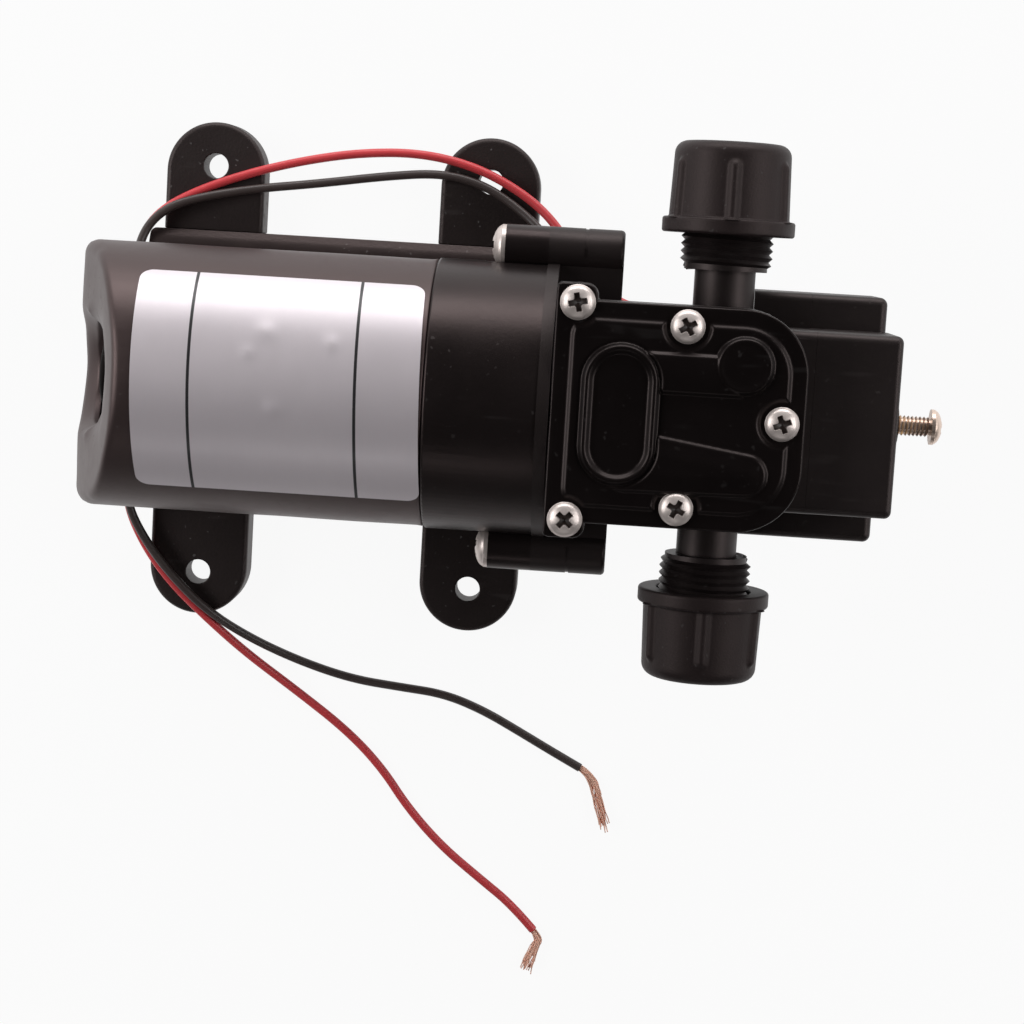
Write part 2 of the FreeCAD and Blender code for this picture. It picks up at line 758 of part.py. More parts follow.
def make_label():
    # a thin plate bent round the boot, its corners cut round
    outer = number("boot_radius + label_thickness")
    inner = number("boot_radius")
    foot = point("label_rear", "0", "shaft_height")
    axis = FreeCAD.Vector(1, 0, 0)
    length = number("label_front - label_rear")
    shell = Part.makeCylinder(outer, length, foot, axis).cut(
        Part.makeCylinder(inner, length + 2, foot - axis, axis))
    reach = inner * math.sin(math.radians(number("label_half_angle")))
    cutter = Part.makeBox(length, 2 * reach, 2 * inner, point("label_rear", "0", "shaft_height")
                          - FreeCAD.Vector(0, reach, 0))
    upright = [edge for edge in cutter.Edges if abs(edge.tangentAt(edge.FirstParameter).z) > 0.9]
    free_shape("rating_label", shell.common(cutter.makeFillet(2.4, upright)).Solids[0])


# Front housing: carries the can, the front bearing and the heads of the two long screws
def make_front_housing():
    housing = new_body("front_housing", up="shaft_height")
    inner = "boot_radius - boot_wall"
    wall = "can_front + housing_wall"
    turned(housing, "X", [("boot_front", inner), ("boot_front", "housing_radius", "0.5"),
                          ("housing_front", "housing_radius"), ("housing_front", "cam_chamber_radius"),
                          (wall, "cam_chamber_radius"), (wall, "bush_radius + 0.5"),
                          ("can_front", "bush_radius + 0.5"), ("can_front", inner)])
    for side in ("-", ""):
        prism(housing, "YZ_Plane", "ear_rear", "housing_front - ear_rear",
              [(side + "ear_offset", "0", "ear_radius")])
    web = [("-ear_offset", "-ear_web_half_height"), ("ear_offset", "-ear_web_half_height"),
           ("ear_offset", "ear_web_half_height"), ("-ear_offset", "ear_web_half_height")]
    prism(housing, "YZ_Plane", "ear_rear", "housing_front - ear_rear", [web])
    turned(housing, "X", [(wall, "0"), (wall, "cam_chamber_radius"),
                          ("housing_front + 1", "cam_chamber_radius"),
                          ("housing_front + 1", "0")], cut=True)
    seat = "housing_front - bearing_width"
    turned(housing, "X", [(seat, "bearing_radius"), (seat, "bearing_radius + 2.4"),
                          ("housing_front", "bearing_radius + 2.4"), ("housing_front", "bearing_radius")])
    turned(housing, "X", [(wall, "bush_radius + 0.5"), (wall, "cam_chamber_radius"),
                          (seat, "cam_chamber_radius"), (seat, "bush_radius + 0.5")])
    turned(housing, "X", [("can_front - 1", "0"), ("can_front - 1", "bush_radius + 0.5"),
                          ("housing_front", "bush_radius + 0.5"), ("housing_front", "0")], cut=True)
    for side in ("-", ""):
        prism(housing, "YZ_Plane", "ear_rear", "housing_front - ear_rear",
              [(side + "ear_offset", "0", "long_screw_radius + screw_clearance")], cut=True)
        prism(housing, "YZ_Plane", "ear_rear - long_screw_head_height - 0.5", "long_screw_head_height + 0.5",
              [(side + "ear_offset", "0", "long_screw_head_radius + screw_clearance")], cut=True)
        place = (side + "motor_screw_offset", "0")
        prism(housing, "YZ_Plane", "can_front", "housing_front - can_front",
              [place + ("motor_screw_radius + screw_clearance",)], cut=True)
        prism(housing, "YZ_Plane", "%s + 1.4" % wall, "housing_front",
              [place + ("motor_screw_head_radius + screw_clearance",)], cut=True)
    prism(housing, "XY_Plane", "-housing_radius", "base_screw_tip - shaft_height + housing_radius + 0.1",
          [("base_screw_place", side + "base_screw_offset", "base_screw_radius") for side in ("-", "")],
          cut=True)
    ring("front_bearing", "X", seat, "bearing_width", "bearing_radius", "shaft_radius + running_gap",
         ("0", "shaft_height"))


PLATE = [("plate_left", "-tab_half_width", "plate_small_corner"),
         ("tab_end", "-tab_half_width", "tab_corner - plate_small_corner"),
         ("tab_end", "-plate_half_width", "plate_small_corner/2"),
         ("plate_right", "-plate_half_width", "plate_corner"),
         ("plate_right", "plate_half_width", "plate_corner"),
         ("tab_end", "plate_half_width", "plate_small_corner/2"),
         ("tab_end", "tab_half_width", "tab_corner - plate_small_corner"),
         ("plate_left", "tab_half_width", "plate_small_corner")]
LID_SCREWS = [("corner_screw_place", "corner_screw_offset"), ("corner_screw_place", "-corner_screw_offset"),
              ("middle_screw_place", "middle_screw_offset"), ("middle_screw_place", "-middle_screw_offset"),
              ("end_screw_place", "0")]
PLATE_TOP = "body_top + valve_plate_thickness"
GASKET_TOP = PLATE_TOP + " + gasket_thickness"
LID_TOP = GASKET_TOP + " + lid_thickness"


def rectangle(left, right, low, high, corner=None):
    corners = [(left, low), (right, low), (right, high), (left, high)]
    return [item + (corner,) for item in corners] if corner else corners


def make_pump_body():
    body = new_body("pump_body")
    front = "housing_front + flange_thickness"
    belly = [("-body_half_width", "shaft_height - body_half_width", "body_half_width - 0.05"),
             ("body_half_width", "shaft_height - body_half_width", "body_half_width - 0.05"),
             ("body_half_width", "body_top - 1"), ("-body_half_width", "body_top - 1")]
    prism(body, "YZ_Plane", "housing_front", "flange_thickness", [("0", "shaft_height", "flange_radius")])
    prism(body, "YZ_Plane", front, "end_block_start - housing_front", [belly])
    prism(body, "YZ_Plane", "end_block_start", "body_end - end_block_start",
          [rectangle("-end_block_half_width", "end_block_half_width", "end_block_bottom", "end_block_top",
                     "body_rounding")])
    prism(body, "YZ_Plane", "end_block_start - 4", "body_end - end_block_start + 4",
          [rectangle("-upper_block_half_width", "upper_block_half_width",
                     "switch_height - switch_half_height",
                     "switch_height + switch_half_height", "body_rounding")])
    prism(body, "XY_Plane", "body_top - rim_height", "rim_height", [PLATE])
    prism(body, "YZ_Plane", "housing_front", "ear_front - housing_front",
          [(side + "ear_offset", "shaft_height", "ear_radius") for side in ("-", "")])
    prism(body, "XY_Plane", "body_top - rim_height - 9", "10",
          [("corner_screw_place", side + "corner_screw_offset", "tab_corner + 0.3") for side in ("-", "")])
    prism(body, "YZ_Plane", "housing_front", "ear_front - housing_front",
          [rectangle("-ear_offset", "ear_offset", "shaft_height - ear_web_half_height",
                     "shaft_height + ear_web_half_height")])
    eased(body, "0.8", lambda edge: lies_at(edge, "x", "ear_front") and is_round(edge, "ear_radius"))
    for side in (-1, 1):
        for radius, first, last in (("port_neck_radius", "body_half_width - 2", "thread_start"),
                                    ("thread_radius", "thread_start", "thread_end")):
            start = first if side > 0 else "-(%s)" % last
            prism(body, "XZ_Plane", start, "%s - (%s)" % (last, first),
                  [("port_place", "port_height", radius)])
    eased(body, "thread_chamfer", lambda edge: is_round(edge, "thread_radius")
          and abs(abs(edge.BoundBox.YMin) - number("thread_end")) < 1e-3, "PartDesign::Chamfer")
    eased(body, "0.7", lambda edge: is_round(edge, "port_neck_radius")
          and abs(edge.BoundBox.YLength) < 1e-3 and abs(edge.BoundBox.YMin) < number("thread_start") - 1)
    groove = [("-ear_offset - 9", "shaft_height - 9"), ("ear_offset + 9", "shaft_height - 9"),
              ("ear_offset + 9", "shaft_height + 9"), ("-ear_offset - 9", "shaft_height + 9")]
    prism(body, "YZ_Plane", "ear_groove", "0.6",
          [groove] + [rectangle("-ear_offset - ear_radius + 0.4", "ear_offset + ear_radius - 0.4",
                                "shaft_height - ear_radius + 0.4", "shaft_height + ear_radius - 0.4",
                                "ear_radius - 0.5")], cut=True)
    cut_body(body)


def cut_body(body):
    # cam chamber, diaphragm seat, water ways, switch sensor chamber and screw holes
    prism(body, "YZ_Plane", "housing_front", "cam_chamber_end - housing_front",
          [("0", "shaft_height", "cam_chamber_radius")], cut=True)
    prism(body, "XY_Plane", "shaft_height", "body_top - shaft_height",
          [("chamber_place", "0", "chamber_radius")], cut=True)
    prism(body, "XY_Plane", "diaphragm_rim_top - diaphragm_thickness", "rim_height + 2",
          [("chamber_place", "0", "diaphragm_radius")], cut=True)
    for start in ("passage_inner_end", "-thread_end"):
        prism(body, "XZ_Plane", start, "thread_end - passage_inner_end",
              [("port_place", "port_height", "port_bore_radius")], cut=True)
    pair = ("", "-")
    prism(body, "XY_Plane", "port_height", "body_top - port_height",
          [("passage_place", side + "passage_offset", "passage_radius") for side in pair], cut=True)
    prism(body, "YZ_Plane", "housing_front", "long_screw_tip - housing_front",
          [(side + "ear_offset", "shaft_height", "long_screw_radius") for side in pair], cut=True)
    prism(body, "YZ_Plane", "body_end - switch_screw_depth", "switch_screw_depth",
          [(side + "switch_screw_offset", "switch_screw_height", "switch_screw_radius") for side in pair],
          cut=True)
    prism(body, "YZ_Plane", "body_end - sensor_thickness + sensor_proud", "sensor_thickness",
          [("0", "switch_height", "sensor_radius")], cut=True)
    prism(body, "YZ_Plane", "body_end - sensor_thickness + sensor_proud - sensor_chamber_depth",
          "sensor_chamber_depth", [("0", "switch_height", "sensor_chamber_radius")], cut=True)
    prism(body, "YZ_Plane", "port_place", "body_end - port_place - 2",
          [("-passage_inner_end - 1.2", "port_height", "1")], cut=True)
    prism(body, "YZ_Plane", "end_block_start", "body_end - end_block_start",
          [("wire_entry_across", "wire_entry_height", "grommet_radius")], cut=True)
    prism(body, "XY_Plane", LID_TOP + " - lid_screw_depth", "lid_screw_depth",
          [place + ("lid_screw_radius",) for place in LID_SCREWS], cut=True)


# Plates above the body: valve plate, gasket and lid share one outline and one screw pattern
def make_plates():
    plate = new_body("valve_plate")
    prism(plate, "XY_Plane", "body_top", "valve_plate_thickness", [PLATE])
    prism(plate, "XY_Plane", "diaphragm_rim_top", "body_top - diaphragm_rim_top + 0.5",
          [("chamber_place", "0", "diaphragm_radius - 0.05")])
    prism(plate, "XY_Plane", "diaphragm_rim_top", "body_top - diaphragm_rim_top + valve_recess",
          [("chamber_place", "0", "chamber_radius")], cut=True)
    for side in ("-", ""):
        stem = ("valve_place", side + "valve_offset")
        ports = [("valve_place + %d*valve_port_pitch" % along,
                  "%svalve_offset + %d*valve_port_pitch" % (side, across), "valve_port_radius")
                 for along, across in ((1, 0), (-1, 0), (0, 1), (0, -1))]
        prism(plate, "XY_Plane", "body_top", "valve_plate_thickness",
              [stem + ("valve_stem_radius + valve_stem_clearance",)] + ports, cut=True)
        prism(plate, "XY_Plane", "body_top", "valve_plate_thickness",
              [("passage_place", side + "passage_offset", "passage_radius")], cut=True)
    gasket = new_body("lid_gasket")
    prism(gasket, "XY_Plane", PLATE_TOP, "gasket_thickness", [PLATE])
    lid = new_body("lid")
    prism(lid, "XY_Plane", GASKET_TOP, "lid_thickness", [PLATE])
    eased(lid, "0.4", lambda edge: lies_at(edge, "z", LID_TOP))
    plateau = [("plate_left + lid_plateau_inset", "lid_plateau_inset - plate_half_width", "3"),
               ("plate_right - lid_plateau_inset", "lid_plateau_inset - plate_half_width",
                "plate_corner - lid_plateau_inset"),
               ("plate_right - lid_plateau_inset", "plate_half_width - lid_plateau_inset",
                "plate_corner - lid_plateau_inset"),
               ("plate_left + lid_plateau_inset", "plate_half_width - lid_plateau_inset", "3")]
    prism(lid, "XY_Plane", LID_TOP, "lid_plateau", [plateau])
    for place in LID_SCREWS:
        prism(lid, "XY_Plane", LID_TOP, "lid_plateau", [place + ("lid_screw_head_radius + lid_head_room",)],
              cut=True)
    make_lid_relief(lid)
    for side in (-1, 1):
        low = "lid_pocket_gap" if side > 0 else "-lid_pocket_gap - lid_pocket_width"
        well = rectangle("valve_place - valve_radius - 0.4", "passage_place + passage_radius + 0.6",
                         low, low + " + lid_pocket_width", "lid_pocket_corner")
        prism(gasket, "XY_Plane", PLATE_TOP, "gasket_thickness", [well], cut=True)
        prism(lid, "XY_Plane", GASKET_TOP, "lid_pocket_depth", [well], cut=True)
    for item, base, height, clearance in ((plate, "body_top", "valve_plate_thickness", "screw_clearance"),
                                          (gasket, PLATE_TOP, "gasket_thickness", "screw_clearance"),
                                          (lid, GASKET_TOP, "lid_thickness", "screw_clearance")):
        prism(item, "XY_Plane", base, height,
              [place + ("lid_screw_radius + " + clearance,) for place in LID_SCREWS], cut=True)


def make_lid_relief(lid):
    stadium = rectangle("stadium_place - stadium_radius", "stadium_place + stadium_radius",
                        "-stadium_half_spacing - stadium_radius", "stadium_half_spacing + stadium_radius",
                        "stadium_radius - 0.02")
    prism(lid, "XY_Plane", LID_TOP, "lid_relief", [stadium])
    channel = rectangle("stadium_place", "boss_place", "boss_offset - boss_radius - 0.7",
                        "boss_offset + channel_half_width/2")
    prism(lid, "XY_Plane", LID_TOP, "lid_relief - lid_relief_draft", [channel])
    slanted = [("stadium_place", "-stadium_half_spacing - stadium_radius + 1.2"),
               ("lower_channel_end", "-lower_channel_offset - lower_channel_radius",
                "lower_channel_radius - 0.4"),
               ("lower_channel_end + lower_channel_radius - 1", "-lower_channel_offset + 1", "3"),
               ("lower_channel_end - 1", "-lower_channel_offset + channel_half_width", "1"),
               ("stadium_place", "-stadium_half_spacing + 3")]
    prism(lid, "XY_Plane", LID_TOP, "lid_relief - lid_relief_draft", [slanted])
    prism(lid, "XY_Plane", LID_TOP, "lid_relief", [("boss_place", "boss_offset", "boss_radius")])
    inner = rectangle("stadium_place - stadium_radius + stadium_wall",
                      "stadium_place + stadium_radius - stadium_wall",
                      "stadium_wall - stadium_half_spacing - stadium_radius",
                      "stadium_half_spacing + stadium_radius - stadium_wall",
                      "stadium_radius - stadium_wall - 0.02")
    prism(lid, "XY_Plane", LID_TOP + " + lid_relief - stadium_recess", "stadium_recess", [inner], cut=True)
    eased(lid, "0.35", lambda edge: lies_at(edge, "z", LID_TOP + " + lid_relief"))


# Screws: a domed pan head with a cross recess, drawn with the seat at z = 0
def pan_screw(head_radius, head_height, shank_radius, length, foot, direction, twist=0):
    head = Part.makeCylinder(head_radius, head_height)
    head = head.makeFillet(head_height * 0.55, [edge for edge in head.Edges
                                                if abs(edge.BoundBox.ZMin - head_height) < 1e-6])
    shape = head.fuse(Part.makeCylinder(shank_radius, length, FreeCAD.Vector(0, 0, -length)))
    scale = head_radius / number("lid_screw_head_radius")
    width, reach, depth = [number(text) * scale for text in ("cross_width", "cross_length", "cross_depth")]
    for spans in ((reach, width), (width, reach)):
        corner = FreeCAD.Vector(-spans[0] / 2, -spans[1] / 2, head_height - depth)
        shape = shape.cut(Part.makeBox(spans[0], spans[1], depth * 2, corner))
    shape = shape.removeSplitter()
    shape.rotate(FreeCAD.Vector(), FreeCAD.Vector(0, 0, 1), twist)
    turn = FreeCAD.Rotation(FreeCAD.Vector(0, 0, 1), direction)
    shape.Placement = FreeCAD.Placement(foot, turn) * shape.Placement
    return shape


def screw_set(label, name, feet, length, direction, twists=(0,)):
    head = [number(name + part) for part in ("_head_radius", "_head_height", "_radius")]
    shapes = [pan_screw(*head, number(length), foot, direction, twists[index % len(twists)])
              for index, foot in enumerate(feet)]
    free_shape(label, Part.makeCompound(shapes))


def make_screws():
    rearward = FreeCAD.Vector(-1, 0, 0)
    upward = FreeCAD.Vector(0, 0, 1)
    screw_set("lid_screws", "lid_screw", [point(*place, LID_TOP) for place in LID_SCREWS],
              "lid_screw_depth", upward, (12, 48, 30, 63, 22))
    screw_set("body_screws", "long_screw", [point("ear_rear", side + "ear_offset", "shaft_height")
                                            for side in ("", "-")],
              "long_screw_tip - ear_rear", rearward)
    screw_set("motor_screws", "motor_screw",
              [point("can_front + housing_wall + 1.4", side + "motor_screw_offset", "shaft_height")
               for side in ("", "-")], "motor_screw_length", rearward * -1)
    seat = "base_bottom + base_screw_head_height + base_screw_depth"
    screw_set("base_screws", "base_screw",
              [point("base_screw_place", side + "base_screw_offset", seat) for side in ("", "-")],
              "base_screw_tip - (%s)" % seat, upward * -1)
    screw_set("switch_screws", "switch_screw",
              [point("switch_end - switch_bore_depth", side + "switch_screw_offset", "switch_screw_height")
               for side in ("", "-")],
              "switch_end - switch_bore_depth - body_end + switch_screw_depth - 0.5", rearward * -1)


# Dust caps: drawn for the +Y port; the other one is the same piece turned round
def make_caps():
    end = "cap_start + cap_height"
    inner = "thread_radius + cap_bore_clearance"
    floor = "thread_end + seal_thickness"
    for label, turn in (("inlet", 0), ("outlet", 180)):
        cap = new_body(label + "_cap", along="port_place", up="port_height", turn=turn)
        turned(cap, "Y", [("cap_start", inner), ("cap_start", "cap_flange_radius", "0.5"),
                          ("cap_start + cap_flange_thickness", "cap_flange_radius", "0.5"),
                          ("cap_start + cap_flange_thickness", "cap_body_radius"),
                          (end, "cap_body_radius", "cap_rounding"), (end, "0"), (floor, "0"), (floor, inner)])
        rib = rectangle("-cap_rib_width/2", "cap_rib_width/2", "cap_body_radius - 1",
                        "cap_body_radius + cap_rib_height", "0.5")
        ridge = prism(cap, "XZ_Plane", "cap_start + cap_flange_thickness - 0.5",
                      "cap_rib_reach", [rib])
        repeated(cap, ridge, "Y", "cap_rib_count")
        seal = new_body(label + "_cap_seal", along="port_place", up="port_height", turn=turn)
        turned(seal, "Y", [("thread_end", "0"), ("thread_end", "thread_radius - thread_chamfer"),
                           (floor, "thread_radius - thread_chamfer"), (floor, "0")])


# Cam, rod and diaphragm at the lowest point of the stroke
def make_drive():
    low_centre = ("0", "shaft_height - throw")
    race_start = "chamber_place - race_width/2"
    hub_start = race_start + " - hub_length"
    hub = rod("eccentric_hub", "X", hub_start, "hub_length", "hub_radius", ("0", "shaft_height"), kept=False)
    disc = rod("eccentric_disc", "X", race_start + " - 0.5", "race_width + 0.5", "race_inner_radius",
               low_centre,
               kept=False)
    weight = rod("eccentric_weight", "X", hub_start + " + 0.5", "counterweight_thickness",
                 "counterweight_radius",
                 ("0", "shaft_height"), kept=False)
    keep = block("eccentric_upper_half", (hub_start, "-counterweight_radius", "shaft_height + 1"),
                 ("hub_length", "2*counterweight_radius", "counterweight_radius"), kept=False)
    half = joined("eccentric_sector", "MultiCommon", [weight, keep], kept=False)
    solid = joined("eccentric_blank", "MultiFuse", [hub, disc, half], kept=False)
    bore = rod("eccentric_bore", "X", hub_start + " - 1", "hub_length + race_width + 3", "shaft_radius",
               ("0", "shaft_height"), kept=False)
    grub_place = ("%s + hub_length/2" % hub_start, "shaft_height")
    tapped = rod("eccentric_tapping", "Y", "0", "hub_radius + 8", "grub_radius", grub_place, kept=False)
    holes = joined("eccentric_holes", "MultiFuse", [bore, tapped], kept=False)
    joined("eccentric", "Cut", [solid, holes])
    rod("grub_screw", "Y", "shaft_radius + 0.02", "grub_length", "grub_radius", grub_place)
    ring("cam_bearing_inner", "X", race_start, "race_width", "race_inner_radius + race_wall",
         "race_inner_radius", low_centre)
    ring("cam_bearing_outer", "X", race_start, "race_width", "race_outer_radius",
         "race_outer_radius - race_wall", low_centre)
    gap = number("race_outer_radius - race_inner_radius - 2*race_wall")
    pitch_radius = number("race_inner_radius + race_outer_radius") / 2
    centre = point("chamber_place", *low_centre)
    balls = []
    for index in range(round(number("ball_count"))):
        angle = 2 * math.pi * index / number("ball_count")
        spot = centre + FreeCAD.Vector(0, math.cos(angle), math.sin(angle)) * pitch_radius
        balls.append(Part.makeSphere(gap / 2 - number("running_gap"), spot))
    free_shape("bearing_balls", Part.makeCompound(balls))
    foot_top = "diaphragm_rim_top - throw - diaphragm_thickness"
    ring_part = rod("rod_ring", "X", "chamber_place - rod_width/2", "rod_width", "rod_ring_radius",
                    low_centre,
                    kept=False)
    neck_low = "shaft_height - throw + race_outer_radius + 0.5"
    neck = block("rod_neck", ("chamber_place - rod_width/2", "-rod_neck_width/2", neck_low),
                 ("rod_width", "rod_neck_width", "%s - (%s)" % (foot_top, neck_low)), kept=False)
    foot = rod("rod_foot", "Z", foot_top + " - rod_foot_thickness", "rod_foot_thickness", "rod_foot_radius",
               ("chamber_place", "0"), kept=False)
    blank = joined("rod_blank", "MultiFuse", [ring_part, neck, foot], kept=False)
    seat = rod("rod_seat", "X", "chamber_place - rod_width", "2*rod_width", "race_outer_radius", low_centre,
               kept=False)
    clamp_top = foot_top + " + diaphragm_thickness + clamp_thickness"
    tapped = rod("rod_tapping", "Z", "%s - clamp_screw_length" % clamp_top, "clamp_screw_length + 1",
                 "clamp_screw_radius", ("chamber_place", "0"), kept=False)
    joined("connecting_rod", "Cut", [blank, joined("rod_holes", "MultiFuse", [seat, tapped], kept=False)])
    make_diaphragm(foot_top, clamp_top)


def make_diaphragm(foot_top, clamp_top):
    rim_low = "diaphragm_rim_top - diaphragm_thickness"
    diaphragm = new_body("diaphragm", along="chamber_place")
    flat = "rod_foot_radius + 0.4"
    bend = "chamber_radius - 0.7"
    turned(diaphragm, "Z", [(foot_top, "clamp_screw_radius"), (foot_top, flat, "2"), (rim_low, bend, "2"),
                            (rim_low, "diaphragm_radius"), ("diaphragm_rim_top", "diaphragm_radius"),
                            ("diaphragm_rim_top", bend, "2"),
                            (foot_top + " + diaphragm_thickness", flat, "2"),
                            (foot_top + " + diaphragm_thickness", "clamp_screw_radius")])
    clamp = new_body("clamp_disc", along="chamber_place")
    low = foot_top + " + diaphragm_thickness"
    turned(clamp, "Z", [(low, "clamp_screw_radius"), (low, "clamp_radius", "0.3"),
                        (clamp_top, "clamp_radius", "0.3"),
                        (clamp_top, "clamp_screw_radius + clamp_thickness")])
    screw = new_body("clamp_screw", along="chamber_place")
    turned(screw, "Z", [(clamp_top + " - clamp_screw_length", "0"),
                        (clamp_top + " - clamp_screw_length", "clamp_screw_radius"),
                        (low, "clamp_screw_radius"), (clamp_top, "clamp_screw_radius + clamp_thickness"),
                        (clamp_top, "0")])
    for across in ("XZ_Plane", "YZ_Plane"):
        slot = rectangle("-1.1", "1.1", clamp_top + " - 0.7", clamp_top + " + 1")
        prism(screw, across, "-0.3", "0.6", [slot], cut=True)


# Valves: the inlet disc hangs under the plate and drops open, the outlet disc lies on it and lifts
def make_valves():
    ceiling = "body_top + valve_recess"
    reach = "(valve_lift + contact_gap)"
    for label, side, low, high, beads in (
            ("inlet_valve", "", ceiling + " - valve_thickness", ceiling, PLATE_TOP + " + " + reach),
            ("outlet_valve", "-", PLATE_TOP, PLATE_TOP + " + valve_thickness", ceiling + " - " + reach)):
        valve = new_body(label, along="valve_place", across=side + "valve_offset")
        bead_low, bead_high = (beads, beads + " + 0.6") if not side else (beads + " - 0.6", beads)
        turned(valve, "Z", [(low, "0"), (low, "valve_radius - 0.1"), (high, "valve_radius - 0.1"),
                            (high, "0")])
        stem_low, stem_high = (high, bead_low) if not side else (bead_high, low)
        turned(valve, "Z", [(stem_low, "0"), (stem_low, "valve_stem_radius"),
                            (stem_high, "valve_stem_radius"),
                            (stem_high, "0")])
        turned(valve, "Z", [(bead_low, "0"), (bead_low, "valve_stem_radius + 0.5"),
                            (bead_high, "valve_stem_radius + 0.3"), (bead_high, "0")])


SEAT_PLACE = "switch_top_end - seat_depth"


# Pressure switch: cover, sensing disc, plunger with its arm, spring, adjuster and microswitch
def make_switch():
    cover = new_body("switch_cover")
    lower_end = "switch_end - body_end"
    prism(cover, "YZ_Plane", "body_end", lower_end,
          [rectangle("-end_block_half_width", "end_block_half_width", "end_block_bottom", "end_block_top",
                     "body_rounding")])
    eased(cover, "switch_rounding", lambda edge: lies_at(edge, "x", "switch_end"))
    low, high = "switch_height - switch_half_height", "switch_height + switch_half_height"
    prism(cover, "YZ_Plane", "body_end", "switch_top_end - body_end",
          [rectangle("-upper_block_half_width", "upper_block_half_width", low, high, "body_rounding")])
    eased(cover, "switch_rounding - 0.2", lambda edge: lies_at(edge, "x", "switch_top_end"))
    disc = ("0", "switch_height", "switch_disc_radius")
    prism(cover, "YZ_Plane", "switch_top_end - 0.5", "switch_disc_height + 0.5", [disc])
    prism(cover, "YZ_Plane", "body_end",
          "switch_top_end - body_end - insert_length + switch_disc_height - 0.2",
          [rectangle("switch_wall - upper_block_half_width", "upper_block_half_width - switch_wall",
                     low + " + switch_wall", high + " - switch_wall", "1")], cut=True)
    prism(cover, "YZ_Plane", "body_end", lower_end + " - switch_wall",
          [rectangle("-switch_cavity_half_width", "switch_cavity_half_width",
                     "end_block_bottom + switch_wall",
                     "end_block_top - switch_wall", "0.8")], cut=True)
    prism(cover, "YZ_Plane", SEAT_PLACE, "seat_depth + switch_disc_height + 1",
          [("0", "switch_height", "insert_radius")], cut=True)
    for radius, start in (("switch_screw_radius + screw_clearance", "body_end"),
                          ("switch_screw_head_radius + screw_clearance", "switch_end - switch_bore_depth")):
        prism(cover, "YZ_Plane", start, "switch_end - body_end",
              [(side + "switch_screw_offset", "switch_screw_height", radius) for side in ("", "-")], cut=True)
    prism(cover, "YZ_Plane", "body_end", "3", [("wire_entry_across", "wire_entry_height", "grommet_radius")],
          cut=True)
    sensor = ("0", "switch_height")
    rod("switch_diaphragm", "X", "body_end - sensor_thickness + sensor_proud", "sensor_thickness",
        "sensor_radius",
        sensor)
    start = "body_end + sensor_proud + contact_gap"
    plunger = new_body("switch_plunger")
    prism(plunger, "YZ_Plane", start, "plunger_thickness", [sensor + ("plunger_radius",)])
    prism(plunger, "YZ_Plane", start, "plunger_thickness",
          [rectangle("-arm_width/2", "arm_width/2", "arm_bottom", "switch_height - 1")])
    prism(plunger, "YZ_Plane", start + " + plunger_thickness - 0.2", "plunger_stem_length + 0.2",
          [sensor + ("plunger_stem_radius",)])
    rod("spring_seat", "X", SEAT_PLACE, "seat_thickness", "seat_radius", sensor)
    insert_start = "switch_top_end + switch_disc_height - insert_length"
    ring("threaded_insert", "X", insert_start, "insert_length", "insert_radius",
         "adjuster_radius + running_gap",
         sensor)
    head_seat = point("switch_top_end + adjuster_stand_out - adjuster_head_height", *sensor)
    screw_set("adjusting_screw", "adjuster", [head_seat],
              "adjuster_stand_out - adjuster_head_height + seat_depth - seat_thickness",
              FreeCAD.Vector(1, 0, 0), (20,))
    make_spring(start + " + plunger_thickness")
    make_microswitch(start + " + plunger_thickness")


def make_spring(start):
    # one unbroken wire, its ends cut flat where they meet the plunger and the seat
    first, last = number(start), number(SEAT_PLACE)
    wire = number("spring_wire_radius")
    radius = number("spring_radius") - wire
    turns = number("spring_turns")
    pitch = (last - first + wire) / turns
    helix = Part.makeHelix(pitch, pitch * turns, radius)
    section = Part.Wire(Part.makeCircle(wire, FreeCAD.Vector(radius, 0, 0), FreeCAD.Vector(0, 1, 0)))
    coil = Part.Wire(helix.Edges).makePipeShell([section], True, True)
    coil.Placement = FreeCAD.Placement(point("0", "0", "switch_height") + FreeCAD.Vector(first - wire / 2,
                                                                                         0, 0),
                                       TURNS["X"])
    core = Part.makeCylinder(number("spring_radius") + 1, last - first, point("0", "0", "switch_height")
                             + FreeCAD.Vector(first, 0, 0), FreeCAD.Vector(1, 0, 0))
    coil = coil.common(core)
    free_shape("pressure_spring", max(coil.Solids, key=lambda solid: solid.Volume))
    print("spring gap between turns %.2f" % (pitch - 2 * wire))


def make_microswitch(face):
    centre = "end_block_bottom + switch_wall + microswitch_thickness/2"
    case = block("microswitch_case", ("microswitch_place", "-microswitch_length/2",
                                      "end_block_bottom + switch_wall"),
                 ("microswitch_depth", "microswitch_length", "microswitch_thickness"), kept=False)
    well = rod("microswitch_well", "X", "microswitch_place - 1", "4", "button_radius + running_gap",
               ("0", centre), kept=False)
    joined("microswitch_body", "Cut", [case, well])
    rod("microswitch_button", "X", face + " + contact_gap",
        "microswitch_place - (%s) - contact_gap + 1.5" % face, "button_radius", ("0", centre))
    legs = []
    for index in (-1, 0, 1):
        corner = point("microswitch_place + microswitch_depth",
                       "%d*terminal_pitch - terminal_width/2" % index,
                       centre + " - terminal_thickness/2")
        legs.append(Part.makeBox(number("terminal_length"), number("terminal_width"),
                                 number("terminal_thickness"), corner))
    free_shape("microswitch_terminals", Part.makeCompound(legs))


